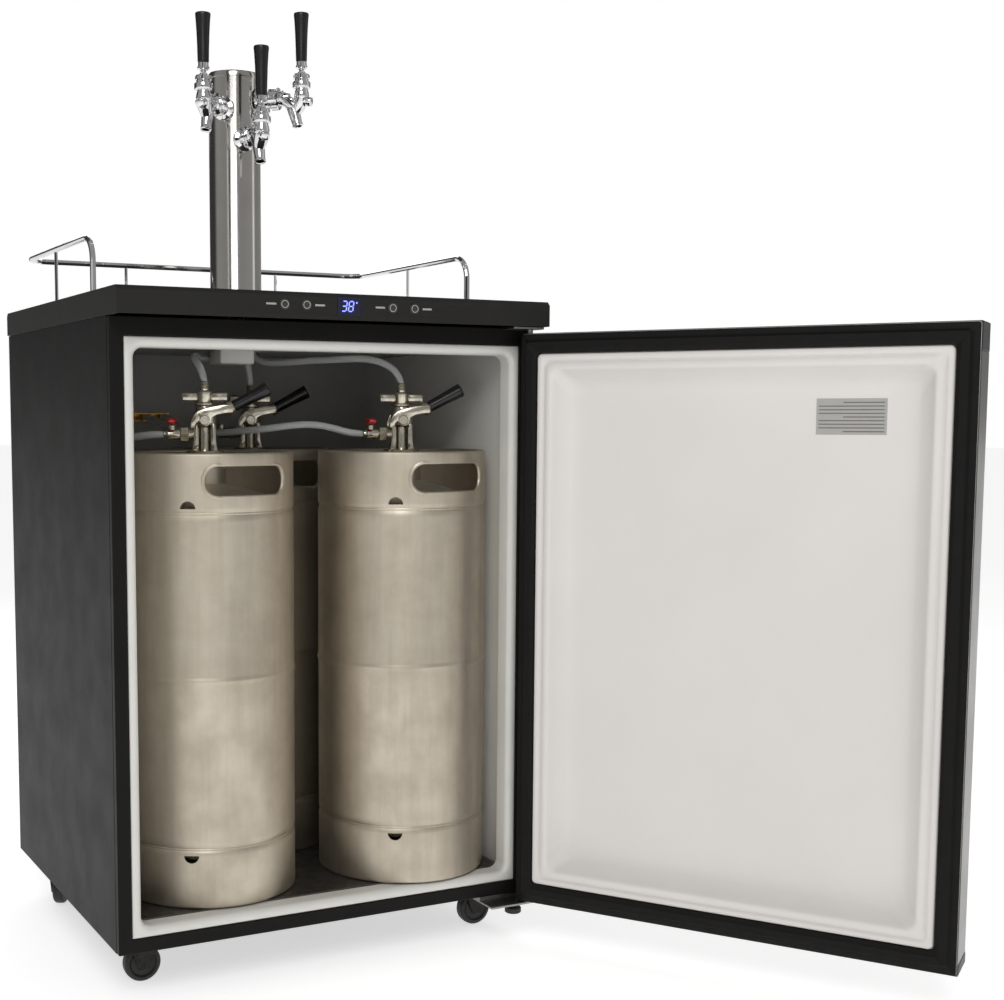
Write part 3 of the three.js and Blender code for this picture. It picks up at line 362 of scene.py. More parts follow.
# ---- meshes -----------------------------------------------------------------
def piece(
    name: str, mesh: bmesh.types.BMesh, finish: Finish, body: str,
    replaced: tuple[str, ...] = (), sharp_deg: float = 32.0,
) -> bpy.types.Object:
    """Makes a finished piece from a bmesh, with its place in its mesh.

    Args:
        name: the piece's name.
        mesh: its shape, in metres in the row frame; it is freed.
        finish: its material.
        body: the CAD body that it rides on.
        replaced: the CAD nodes that it stands for.
        sharp_deg: edges sharper than this stay crisp.

    Returns:
        The piece's object.
    """
    data = bpy.data.meshes.new(name)
    mesh.to_mesh(data)
    mesh.free()
    data.shade_smooth()
    data.set_sharp_from_angle(angle=math.radians(sharp_deg))
    made = bpy.data.objects.new(name, data)
    bpy.context.scene.collection.objects.link(made)
    data.materials.append(finish.material())
    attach(made, body)
    if replaced:
        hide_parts(*replaced)
    LOG.info("piece %s", name)
    return made


def spun(profile: Profile, steps: int = 48) -> bmesh.types.BMesh:
    """Turns a half outline about the Z axis.

    Args:
        profile: radius and height of each point, from the axis round to the axis.
        steps: how many flats make the circle.

    Returns:
        A closed shape with outward faces.
    """
    made = bmesh.new()
    verts = [made.verts.new((radius, 0.0, height)) for radius, height in profile]
    edges = [made.edges.new(pair) for pair in zip(verts, verts[1:])]
    bmesh.ops.spin(made, geom=[*verts, *edges], axis=Z_AXIS, cent=(0, 0, 0),
                   angle=math.tau, steps=steps, use_merge=True, use_duplicate=False)
    bmesh.ops.remove_doubles(made, verts=made.verts, dist=1e-6)
    bmesh.ops.recalc_face_normals(made, faces=made.faces)
    return made


def round_edges(mesh: bmesh.types.BMesh, radius: float, segments: int) -> None:
    """Rounds every edge of a bmesh."""
    bmesh.ops.bevel(mesh, geom=mesh.edges[:], offset=radius, offset_type="OFFSET", segments=segments,
                    profile=0.5, affect="EDGES", material=-1)


def rounded_box(low: Vector, high: Vector, radius: float, segments: int = 3) -> bmesh.types.BMesh:
    """Returns a box between two corners with all its edges rounded."""
    made = bmesh.new()
    bmesh.ops.create_cube(made, size=1.0)
    bmesh.ops.scale(made, vec=high - low, verts=made.verts)
    bmesh.ops.translate(made, vec=(low + high) / 2, verts=made.verts)
    round_edges(made, radius, segments)
    return made


def plate(outline: Profile, y0: float, y1: float, radius: float) -> bmesh.types.BMesh:
    """Returns a flat plate cut to an outline in X and Z, from y0 to y1, with eased edges."""
    made = bmesh.new()
    face = made.faces.new([made.verts.new((x, y0, z)) for x, z in outline])
    grown = bmesh.ops.extrude_face_region(made, geom=[face])
    moved = [g for g in grown["geom"] if isinstance(g, bmesh.types.BMVert)]
    bmesh.ops.translate(made, vec=(0, y1 - y0, 0), verts=moved)
    bmesh.ops.recalc_face_normals(made, faces=made.faces)
    round_edges(made, radius, 2)
    return made


def placed(mesh: bmesh.types.BMesh, matrix: Matrix) -> bmesh.types.BMesh:
    """Moves a bmesh by a matrix and returns it."""
    bmesh.ops.transform(mesh, matrix=matrix, verts=mesh.verts)
    return mesh


def joined(*meshes: bmesh.types.BMesh) -> bmesh.types.BMesh:
    """Gathers several bmeshes into one; the others are freed."""
    first, *others = meshes
    for other in others:
        carrier = bpy.data.meshes.new("carrier")
        other.to_mesh(carrier)
        other.free()
        first.from_mesh(carrier)
        bpy.data.meshes.remove(carrier)
    return first


def along(start: Vector, direction: Vector) -> Matrix:
    """Returns the matrix that lays the Z axis along a direction from a start point."""
    turn = direction.to_track_quat("Z", "Y").to_matrix().to_4x4()
    return Matrix.Translation(start) @ turn


def swept(points: list[Vector], radius: float, sides: int = 12) -> bmesh.types.BMesh:
    """Sweeps a round rod along points and closes its ends.

    Args:
        points: the middle line.
        radius: the rod's radius.
        sides: how many flats make the circle.

    Returns:
        The closed rod.
    """
    curve = bpy.data.curves.new("sweep", "CURVE")
    curve.dimensions = "3D"
    curve.bevel_depth = radius
    curve.bevel_resolution = max(0, sides // 4 - 1)
    curve.use_fill_caps = True
    spline = curve.splines.new("POLY")
    spline.points.add(len(points) - 1)
    for target, point in zip(spline.points, points):
        target.co = (*point, 1.0)
    holder = bpy.data.objects.new("sweep", curve)
    bpy.context.scene.collection.objects.link(holder)
    bpy.context.view_layer.update()
    made = bmesh.new()
    made.from_mesh(holder.to_mesh())
    holder.to_mesh_clear()
    bpy.data.objects.remove(holder)
    bpy.data.curves.remove(curve)
    bmesh.ops.remove_doubles(made, verts=made.verts, dist=1e-6)
    bmesh.ops.recalc_face_normals(made, faces=made.faces)
    return made


def corner_arc(centre: Vector, start: Vector, end: Vector, steps: int = 10) -> list[Vector]:
    """Returns a quarter turn about a centre, from centre + start to centre + end."""
    turns = [math.pi / 2 * i / steps for i in range(steps + 1)]
    return [centre + start * math.cos(t) + end * math.sin(t) for t in turns]


def rounded_loop(
    mesh: bmesh.types.BMesh, low: Vector, high: Vector, y: float, corner: float, steps: int = 8,
) -> list[bmesh.types.BMEdge]:
    """Adds a rectangle with round corners, in X and Z at depth y, and returns its edges."""
    points: list[Vector] = []
    for sx, sz, first in ((1, -1, -90), (1, 1, 0), (-1, 1, 90), (-1, -1, 180)):
        cx = (high.x if sx > 0 else low.x) - sx * corner
        cz = (high.z if sz > 0 else low.z) - sz * corner
        for i in range(steps + 1):
            turn = math.radians(first + 90 * i / steps)
            points.append(Vector((cx + corner * math.cos(turn), y, cz + corner * math.sin(turn))))
    verts = [mesh.verts.new(point) for point in points]
    return [mesh.edges.new((a, b)) for a, b in zip(verts, verts[1:] + verts[:1])]


def skinned(mesh: bmesh.types.BMesh, loops: list[list[bmesh.types.BMEdge]], around: bool = False) -> None:
    """Joins each loop of edges to the next with quads, and the last to the first where asked."""
    for one, other in zip(loops, [*loops[1:], loops[0]] if around else loops[1:]):
        for near, far in zip(one, other):
            mesh.faces.new((near.verts[0], near.verts[1], far.verts[1], far.verts[0]))


def centre(node: str) -> Vector:
    """Returns the middle of a CAD node's box."""
    low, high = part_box(node)
    return (Vector(low) + Vector(high)) / 2


def upright(node: str, height: float) -> Vector:
    """Returns the point at a height on the upright line through a node's middle."""
    middle = centre(node)
    return Vector((middle.x, middle.y, height))


@dataclass
class Frame:
    """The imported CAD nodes, and ways to dress them."""

    nodes: dict[str, bpy.types.Object]

    def dress(self, finish: Finish, *names: str) -> None:
        """Gives carried-over nodes a finish."""
        for name in names:
            data = self.nodes[name].data
            data.materials.clear()
            data.materials.append(finish.material())
            LOG.info("node %s dressed in %s", name, finish.name)

    def merged(self, node: str) -> bmesh.types.BMesh:
        """Returns a copy of a node's mesh with its loose triangles joined up."""
        made = bmesh.new()
        made.from_mesh(self.nodes[node].data)
        bmesh.ops.remove_doubles(made, verts=made.verts, dist=2e-6)
        return made

    def eased(
        self, name: str, node: str, finish: Finish, body: str, radius_mm: float, segments: int = 3,
    ) -> bpy.types.Object:
        """Replaces a node by a copy with rounded edges.

        Args:
            name: the new piece's name.
            node: the node to copy and replace.
            finish: its material.
            body: the body that it rides on.
            radius_mm: the radius on its edges.
            segments: how many flats make that radius.

        Returns:
            The new piece.
        """
        mesh = self.merged(node)
        bmesh.ops.dissolve_limit(mesh, angle_limit=math.radians(0.8), verts=mesh.verts, edges=mesh.edges)
        made = piece(name, mesh, finish, body, (node,))
        edge = made.modifiers.new("eased_edges", "BEVEL")
        edge.width = radius_mm * MM
        edge.segments = segments
        edge.limit_method = "ANGLE"
        edge.angle_limit = math.radians(32)
        edge.harden_normals = True
        return made

    def smoothed_tube(self, name: str, node: str, finish: Finish, body: str) -> bpy.types.Object:
        """Replaces a faceted tube node by a smooth round one."""
        mesh = self.merged(node)
        bmesh.ops.join_triangles(mesh, faces=mesh.faces, angle_face_threshold=0.6, angle_shape_threshold=0.6)
        made = piece(name, mesh, finish, body, (node,), sharp_deg=70.0)
        smooth = made.modifiers.new("round", "SUBSURF")
        smooth.levels = 2
        smooth.render_levels = 2
        return made


# ---- cabinet ----------------------------------------------------------------
@dataclass
class Cabinet:
    """Side panels, front frame, back, base, liner and what they hide."""

    frame: Frame
    edge_mm: float = 1.6
    screw_radius: float = 4.2 * MM
    screw_height: float = 1.8 * MM
    screw_inset: float = 12.0 * MM
    ceiling_box: tuple[float, float, float] = (0.052, 0.05, 0.021)
    ceiling_box_from_keg: tuple[float, float] = (0.055, 0.085)
    lip_width: float = 13.0 * MM
    lip_roll: float = 8.0 * MM
    lip_depth: float = 28.0 * MM
    mouth_corner: float = 13.0 * MM

    def build(self) -> None:
        """Builds the cabinet's pieces."""
        self._outside()
        self._inside()
        self._screws()
        self._ceiling_sensor()

    def _outside(self) -> None:
        """The painted steel shell."""
        self.frame.dress(POWDER_COAT, "side_panel_left", "side_panel_right", "base_pan", "back_panel")
        self.frame.eased("front_frame_pressing", "front_frame", POWDER_COAT, "cabinet", self.edge_mm)

    def _inside(self) -> None:
        """The moulded liner, floor plate, foam and compressor."""
        self._liner_walls()
        self._liner_lip()
        self.frame.eased("floor_plate_pressing", "floor_plate", ROLLED_STEEL, "cabinet", 0.8)
        self.frame.dress(POURED_FOAM, "insulation_foam")
        self.frame.eased("compressor_shell", "compressor", BLACK_ENAMEL, "cabinet", 1.5)

    def _liner_walls(self) -> None:
        """The liner behind its lip, with the floor rounded into the walls."""
        mesh = self.frame.merged("inner_liner")
        whole = [*mesh.verts, *mesh.edges, *mesh.faces]
        behind = self.lip_depth + 0.00005
        cut = bmesh.ops.bisect_plane(mesh, geom=whole, plane_co=(0, behind, 0), plane_no=(0, -1, 0),
                                     clear_outer=True)
        rim = [g for g in cut["geom_cut"] if isinstance(g, bmesh.types.BMEdge)]
        bmesh.ops.bridge_loops(mesh, edges=rim)
        bmesh.ops.recalc_face_normals(mesh, faces=mesh.faces)
        bmesh.ops.dissolve_limit(mesh, angle_limit=math.radians(0.8), verts=mesh.verts, edges=mesh.edges)
        piece("inner_liner_walls", mesh, LINER_STYRENE, "cabinet", ("inner_liner",))

    def _liner_lip(self) -> None:
        """The rolled lip of the liner round the opening."""
        low, high = (Vector(corner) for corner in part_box("inner_liner"))
        front, edge, roll = low.y, 0.0015, self.lip_roll
        start = self.lip_width - roll
        rings = [(0.0, self.lip_depth, 0.002), (0.0, front + edge, 0.002), (edge, front, 0.002)]
        for i in range(9):
            turn = math.pi / 2 * i / 8
            inset = start + roll * math.sin(turn)
            corner = self.mouth_corner + self.lip_width - inset
            rings.append((inset, front + roll * (1 - math.cos(turn)), corner))
        rings.append((self.lip_width, self.lip_depth, self.mouth_corner))
        lip = bmesh.new()
        loops = []
        for inset, y, corner in rings:
            near = Vector((low.x + inset, 0, low.z + inset))
            far = Vector((high.x - inset, 0, high.z - inset))
            loops.append(rounded_loop(lip, near, far, y, corner))
        skinned(lip, loops, around=True)
        bmesh.ops.recalc_face_normals(lip, faces=lip.faces)
        piece("inner_liner_lip", lip, LINER_STYRENE, "cabinet", (), 60.0)

    def _screws(self) -> None:
        """Pan-head screws around the back panel."""
        low, high = (Vector(corner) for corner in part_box("back_panel"))
        inset = self.screw_inset
        columns = (low.x + inset, (low.x + high.x) / 2, high.x - inset)
        rows = (low.z + inset, (low.z + high.z) / 2, high.z - inset)
        panel_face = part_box("side_panel_left")[1][1]
        radius, height = self.screw_radius, self.screw_height
        profile = [(0, 0), (radius, 0), (radius * 0.95, height * 0.4), (radius * 0.6, height * 0.9),
                   (0, height)]
        heads = []
        for x in columns:
            for z in rows:
                if x == columns[1] and z == rows[1]:
                    continue
                head = spun(profile, 20)
                heads.append(placed(head, along(Vector((x, panel_face, z)), Vector((0, 1, 0)))))
        piece("back_panel_screws", joined(*heads), ZINC_PLATE, "cabinet")

    def _ceiling_sensor(self) -> None:
        """The shallow moulded box on the liner's ceiling, left of the tower."""
        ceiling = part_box("inner_liner")[1][2] - 0.002
        width, depth, height = self.ceiling_box
        middle = centre("keg_left")
        right, back = self.ceiling_box_from_keg
        corner = Vector((middle.x + right, middle.y + back, ceiling - height))
        box = rounded_box(corner, corner + Vector((width, depth, height)), 0.003)
        piece("ceiling_sensor_box", box, LINER_STYRENE, "cabinet")


# ---- worktop ----------------------------------------------------------------
SEGMENTS = {
    "a": (0.5, 1.0, True), "b": (1.0, 0.75, False), "c": (1.0, 0.25, False), "d": (0.5, 0.0, True),
    "e": (0.0, 0.25, False), "f": (0.0, 0.75, False), "g": (0.5, 0.5, True),
}
DIGITS = {"3": "abcdg", "8": "abcdefg"}


@dataclass
class Worktop:
    """The moulded top with its display, keys and printed marks."""

    frame: Frame
    reading: str = "38"
    digit_width: float = 6.2 * MM
    digit_height: float = 12.5 * MM
    stroke: float = 1.5 * MM
    slant: float = 0.16
    ring_outer: float = 4.9 * MM
    ring_inner: float = 4.0 * MM
    ring_thick: float = 0.15 * MM
    mark_size: tuple[float, float] = (13.5 * MM, 2.4 * MM)
    mark_gap: float = 11.5 * MM
    mark_side: dict[str, int] = field(default_factory=lambda: {"set": -1, "down": 1, "light": -1, "power": 1})

    def build(self) -> None:
        """Builds the top and what is on its front."""
        self.frame.eased("worktop_moulding", "worktop", GRAINED_ABS, "cabinet", 1.6)
        self.frame.eased("display_window", "control_window", TINTED_ACRYLIC, "cabinet", 0.25, 2)
        self._reading()
        self._keys()

    def _reading(self) -> None:
        """The lit figures behind the window."""
        low, high = (Vector(corner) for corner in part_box("control_window"))
        front = low.y
        bars = []
        pitch = self.digit_width * 1.5
        left = (low.x + high.x) / 2 - pitch * len(self.reading) / 2 - 1.5 * MM
        base = (low.z + high.z) / 2 - self.digit_height / 2
        for i, digit in enumerate(self.reading):
            for key in DIGITS[digit]:
                u, v, flat = SEGMENTS[key]
                x = left + i * pitch + u * self.digit_width
                z = base + v * self.digit_height
                half_x = self.digit_width * 0.36 if flat else self.stroke / 2
                half_z = self.stroke / 2 if flat else self.digit_height * 0.2
                corner = Vector((x - half_x, front - 0.0002, z - half_z))
                size = Vector((2 * half_x, 0.0003, 2 * half_z))
                bars.append(rounded_box(corner, corner + size, 0.0001, 1))
        dot = Vector((left + len(self.reading) * pitch, front - 0.0002, base + self.digit_height * 0.8))
        bars.append(rounded_box(dot, dot + Vector((2 * MM, 0.0003, 2 * MM)), 0.0001, 1))
        figures = joined(*bars)
        home = Matrix.Translation((0, 0, base))
        placed(figures, home @ Matrix.Shear("XY", 4, (self.slant, 0.0)) @ home.inverted())
        piece("display_figures", figures, SEGMENT_LIGHT, "cabinet")

    def _keys(self) -> None:
        """Round push keys with a printed ring, and a plain mark beside each."""
        for name, side in self.mark_side.items():
            node = f"button_{name}"
            self.frame.eased(f"key_{name}_cap", node, BUTTON_ABS, f"key_{name}", 0.5)
            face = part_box(node)[0][1]
            middle = centre(node)
            inner, outer, thick = self.ring_inner, self.ring_outer, self.ring_thick
            ring = bmesh.new()
            corners = [ring.verts.new(p) for p in (
                (inner, 0, 0), (outer, 0, 0), (outer, 0, thick), (inner, 0, thick))]
            edges = [ring.edges.new((corners[i], corners[(i + 1) % 4])) for i in range(4)]
            bmesh.ops.spin(ring, geom=[*corners, *edges], axis=Z_AXIS, cent=(0, 0, 0),
                           angle=math.tau, steps=36, use_merge=True, use_duplicate=False)
            bmesh.ops.recalc_face_normals(ring, faces=ring.faces)
            placed(ring, along(Vector((middle.x, face + thick / 2, middle.z)), Vector((0, -1, 0))))
            piece(f"key_{name}_ring", ring, PRINTED_INK, f"key_{name}")
            length, height = self.mark_size
            x = middle.x + side * (self.mark_gap + length / 2)
            top_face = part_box("worktop")[0][1]
            corner = Vector((x - length / 2, top_face - 0.0001, middle.z - height / 2))
            mark = rounded_box(corner, corner + Vector((length, 0.0002, height)), 0.00008, 1)
            piece(f"key_{name}_mark", mark, PRINTED_INK, "cabinet")


@dataclass
class GuardRail:
    """The bent chrome rod round the top, with its posts and foot collars."""

    radius: float = 4.0 * MM
    post_radius: float = 2.4 * MM
    bend: float = 32.0 * MM
    post_side_share: float = 0.52
    post_back: float = 125.0 * MM

    def build(self) -> None:
        """Builds the rail as one piece."""
        low, high = (Vector(corner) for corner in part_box("guard_rail"))
        r, bend = self.radius, self.bend
        front, back, top, foot = low.y + r, high.y - r, high.z - r, low.z
        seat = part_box("worktop")[1][2]
        half = high.x - r
        path: list[Vector] = []
        for side in (-1, 1):
            run = [Vector((side * half, front, foot))]
            run += corner_arc(Vector((side * half, front + bend, top - bend)),
                              Vector((0, -bend, 0)), Vector((0, 0, bend)))
            run += corner_arc(Vector((side * (half - bend), back - bend, top)),
                              Vector((side * bend, 0, 0)), Vector((0, bend, 0)))
            path += run if side < 0 else run[::-1]
        rods = [swept(path, r, 16)]
        post_y = front + (back - front) * self.post_side_share
        feet = [(-half, post_y), (half, post_y), (-self.post_back, back), (self.post_back, back)]
        for x, y in feet:
            rods.append(swept([Vector((x, y, foot)), Vector((x, y, top))], self.post_radius, 12))
        collar = [(0, 0), (r * 1.9, 0), (r * 1.9, r * 0.4), (r * 1.2, r * 0.9), (0, r * 0.9)]
        for x, y in [*feet, (-half, front), (half, front)]:
            rods.append(placed(spun(collar, 24), Matrix.Translation((x, y, seat))))
        piece("guard_rail_rod", joined(*rods), RAIL_CHROME, "cabinet", ("guard_rail",))


# ---- tower and faucets ------------------------------------------------------
@dataclass
class Tower:
    """The polished column that carries the faucets."""

    flange: float = 52.0 * MM
    radius: float = 38.1 * MM
    cap: float = 39.4 * MM

    def build(self) -> None:
        """Builds the column with its foot flange, cap and flange screws."""
        low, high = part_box("tower_column")
        middle = centre("tower_column")
        base, height = low[2], high[2] - low[2]
        r, f, c = self.radius, self.flange, self.cap
        profile = [
            (0, 0), (f, 0), (f, 0.004), (f - 0.0012, 0.0062), (f - 0.003, 0.007), (r + 0.003, 0.0075),
            (r + 0.0008, 0.009), (r, 0.012), (r, height - 0.0095), (c, height - 0.009),
            (c, height - 0.0035), (c - 0.0012, height - 0.0012), (c - 0.004, height), (0, height),
        ]
        column = placed(spun(profile, 96), Matrix.Translation((middle.x, middle.y, base)))
        screw = [(0, 0), (0.0042, 0), (0.0038, 0.0012), (0.002, 0.0021), (0, 0.0023)]
        ring = (f + r) / 2
        heads = []
        for turn in (45, 135, 225, 315):
            at = Vector((math.cos(math.radians(turn)), math.sin(math.radians(turn)), 0)) * ring
            seat = Vector((middle.x, middle.y, base + 0.0068))
            heads.append(placed(spun(screw, 16), Matrix.Translation(seat + at)))
        piece("tower_tube", joined(column, *heads), TOWER_STEEL, "cabinet", ("tower_column",))


@dataclass
class Tap:
    """One faucet: shank, body, bonnet, spout, lever and knob, pointing out from the tower."""

    name: str
    lever_reach: float = 107.0 * MM
    knob_rise: float = 50.3 * MM

    def build(self) -> None:
        """Builds the fixed faucet and the two pieces that tip with its lever."""
        axis = centre("tower_column")
        knob_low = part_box(f"tap_handle_{self.name}")[0]
        out = centre(f"tap_handle_{self.name}") - axis
        turn = math.atan2(out.x, -out.y)
        home = Matrix.Translation((axis.x, axis.y, knob_low[2] - self.knob_rise))
        home = home @ Matrix.Rotation(turn, 4, "Z")
        self._faucet(home)
        lever = Matrix.Translation((0, -self.lever_reach, 0))
        body = f"tap_{self.name}"
        piece(f"tap_{self.name}_lever", placed(spun(self._lever_profile(), 40), home @ lever), CHROME, body,
              (f"tap_lever_{self.name}",))
        piece(f"tap_{self.name}_knob", placed(spun(self._knob_profile(), 48), home @ lever), PHENOLIC, body,
              (f"tap_handle_{self.name}",))

    def _faucet(self, home: Matrix) -> None:
        """The plated brass parts that stay still."""
        outward = along(Vector((0, 0, 0)), Vector((0, -1, 0)))
        barrel = placed(spun(self._barrel_profile(), 48), outward)
        nut = placed(self._notched_nut(), outward)
        bonnet = placed(self._bonnet(), Matrix.Translation((0, -self.lever_reach, 0)))
        vent = spun(self._vent_profile(), 32)
        placed(vent, along(Vector((0, -0.106, -0.004)), Vector((0, -1, -0.25))))
        start = Vector((0, -0.0905, -0.004))
        spout = placed(spun(self._spout_profile(), 40), along(start, Vector((0, -0.011, -0.038))))
        tail = placed(spun([(0, 0), (0.0055, 0), (0.0055, 0.018), (0, 0.018)], 20),
                      along(Vector((0, -0.022, 0.002)), Vector((0, 0, -1))))
        whole = placed(joined(barrel, nut, bonnet, vent, spout, tail, *self._webs()), home)
        piece(f"faucet_{self.name}_body", whole, CHROME, "cabinet", (f"faucet_{self.name}",), 28.0)

    @staticmethod
    def _webs() -> list[bmesh.types.BMesh]:
        """The casting that slants down from the barrel and from the bonnet into the spout."""
        slant = spun([(0, -0.004), (0.0088, 0.0), (0.0092, 0.010), (0.0100, 0.020), (0.0088, 0.0285),
                      (0.0050, 0.0320), (0, 0.0330)], 32)
        drop = spun([(0, -0.004), (0.0108, 0.0), (0.0106, 0.006), (0.0094, 0.014), (0.0074, 0.0210),
                     (0, 0.0250)], 32)
        return [
            placed(slant, along(Vector((0, -0.0770, 0.0005)), Vector((0, -0.023, -0.016)))),
            placed(drop, along(Vector((0, -0.1070, -0.002)), Vector((0, 0.010, -0.021)))),
        ]

    @staticmethod
    def _barrel_profile() -> Profile:
        """Shank, wall collar and the stepped barrel as far as the casting."""
        return [
            (0, 0.014), (0.006, 0.014), (0.006, 0.029), (0.014, 0.029), (0.014, 0.034), (0.0105, 0.0345),
            (0.0105, 0.0384), (0.017, 0.0384), (0.017, 0.0404), (0.0158, 0.0422), (0.0128, 0.0438),
            (0.0108, 0.0448), (0.0105, 0.060), (0.0105, 0.073), (0.0112, 0.0745), (0.0112, 0.078),
            (0.0092, 0.0795), (0.0086, 0.0830), (0.0066, 0.0880), (0, 0.0900),
        ]

    @staticmethod
    def _vent_profile() -> Profile:
        """The round cap on the front of the casting."""
        return [(0, 0.0), (0.0085, 0.0), (0.0088, 0.0080), (0.0078, 0.0098), (0.0070, 0.0104),
                (0.0070, 0.0150), (0.0063, 0.0166), (0.0048, 0.0174), (0, 0.0176)]

    @staticmethod
    def _notched_nut() -> bmesh.types.BMesh:
        """The coupling nut, with hook-wrench notches round it."""
        outer, steps, notch_every = 0.016, 48, 6
        nut = spun([(0.0104, 0.0580), (0.0148, 0.0580), (outer, 0.0592), (outer, 0.0708), (0.0148, 0.0720),
                    (0.0104, 0.0720), (0.0104, 0.0580)], steps)
        for vert in nut.verts:
            radius = math.hypot(vert.co.x, vert.co.y)
            step = round(math.atan2(vert.co.y, vert.co.x) / math.tau * steps) % notch_every
            if radius > 0.0145 and step in (0, 1):
                vert.co.x *= 0.0138 / radius
                vert.co.y *= 0.0138 / radius
        return nut

    @staticmethod
    def _bonnet() -> bmesh.types.BMesh:
        """The upright bonnet with a knurled ring and the lever's socket."""
        steps = 48
        bonnet = spun([
            (0, -0.008), (0.0080, -0.0070), (0.0106, -0.003), (0.0112, 0.002), (0.0106, 0.0070),
            (0.0092, 0.0100), (0.0092, 0.0118), (0.0124, 0.0126), (0.0132, 0.0138), (0.0132, 0.0202),
            (0.0124, 0.0214), (0.0104, 0.0222), (0.0104, 0.0252), (0.0120, 0.0262), (0.0124, 0.0300),
            (0.0114, 0.0320), (0.0088, 0.0320), (0.0086, 0.0305), (0.0086, 0.0212), (0, 0.0212),
        ], steps)
        for vert in bonnet.verts:
            step = round(math.atan2(vert.co.y, vert.co.x) / math.tau * steps)
            if math.hypot(vert.co.x, vert.co.y) > 0.0128 and step % 2:
                vert.co.x *= 0.955
                vert.co.y *= 0.955
        return bonnet

    @staticmethod
    def _spout_profile() -> Profile:
        """The tapered spout with a rolled lip and an open mouth."""
        return [
            (0, -0.002), (0.0084, 0.0), (0.0092, 0.008), (0.0088, 0.016), (0.0079, 0.028), (0.0074, 0.0345),
            (0.0076, 0.0360), (0.0081, 0.0370), (0.0081, 0.0386), (0.0074, 0.0394), (0.0063, 0.0394),
            (0.0057, 0.0384), (0.0056, 0.022), (0, 0.022),
        ]

    @staticmethod
    def _lever_profile() -> Profile:
        """Ball, neck and ferrule."""
        return [
            (0, 0.0222), (0.0031, 0.0228), (0.0057, 0.0246), (0.0073, 0.0270), (0.0078, 0.0300),
            (0.0072, 0.0332), (0.0054, 0.0358), (0.0040, 0.0370), (0.0040, 0.0398), (0.0066, 0.0402),
            (0.0086, 0.0415), (0.0088, 0.0440), (0.0080, 0.0452), (0.0078, 0.0490), (0.0072, 0.0500),
            (0, 0.0500),
        ]

    @staticmethod
    def _knob_profile() -> Profile:
        """The tapered black knob, widest near its top."""
        return [
            (0, 0.0503), (0.0074, 0.0503), (0.0080, 0.0511), (0.0081, 0.0530), (0.0085, 0.0700),
            (0.0092, 0.0900), (0.0103, 0.1090), (0.0110, 0.1150), (0.0110, 0.1172), (0.0104, 0.1184),
            (0.0092, 0.1188), (0.0060, 0.1192), (0, 0.1195),
        ]


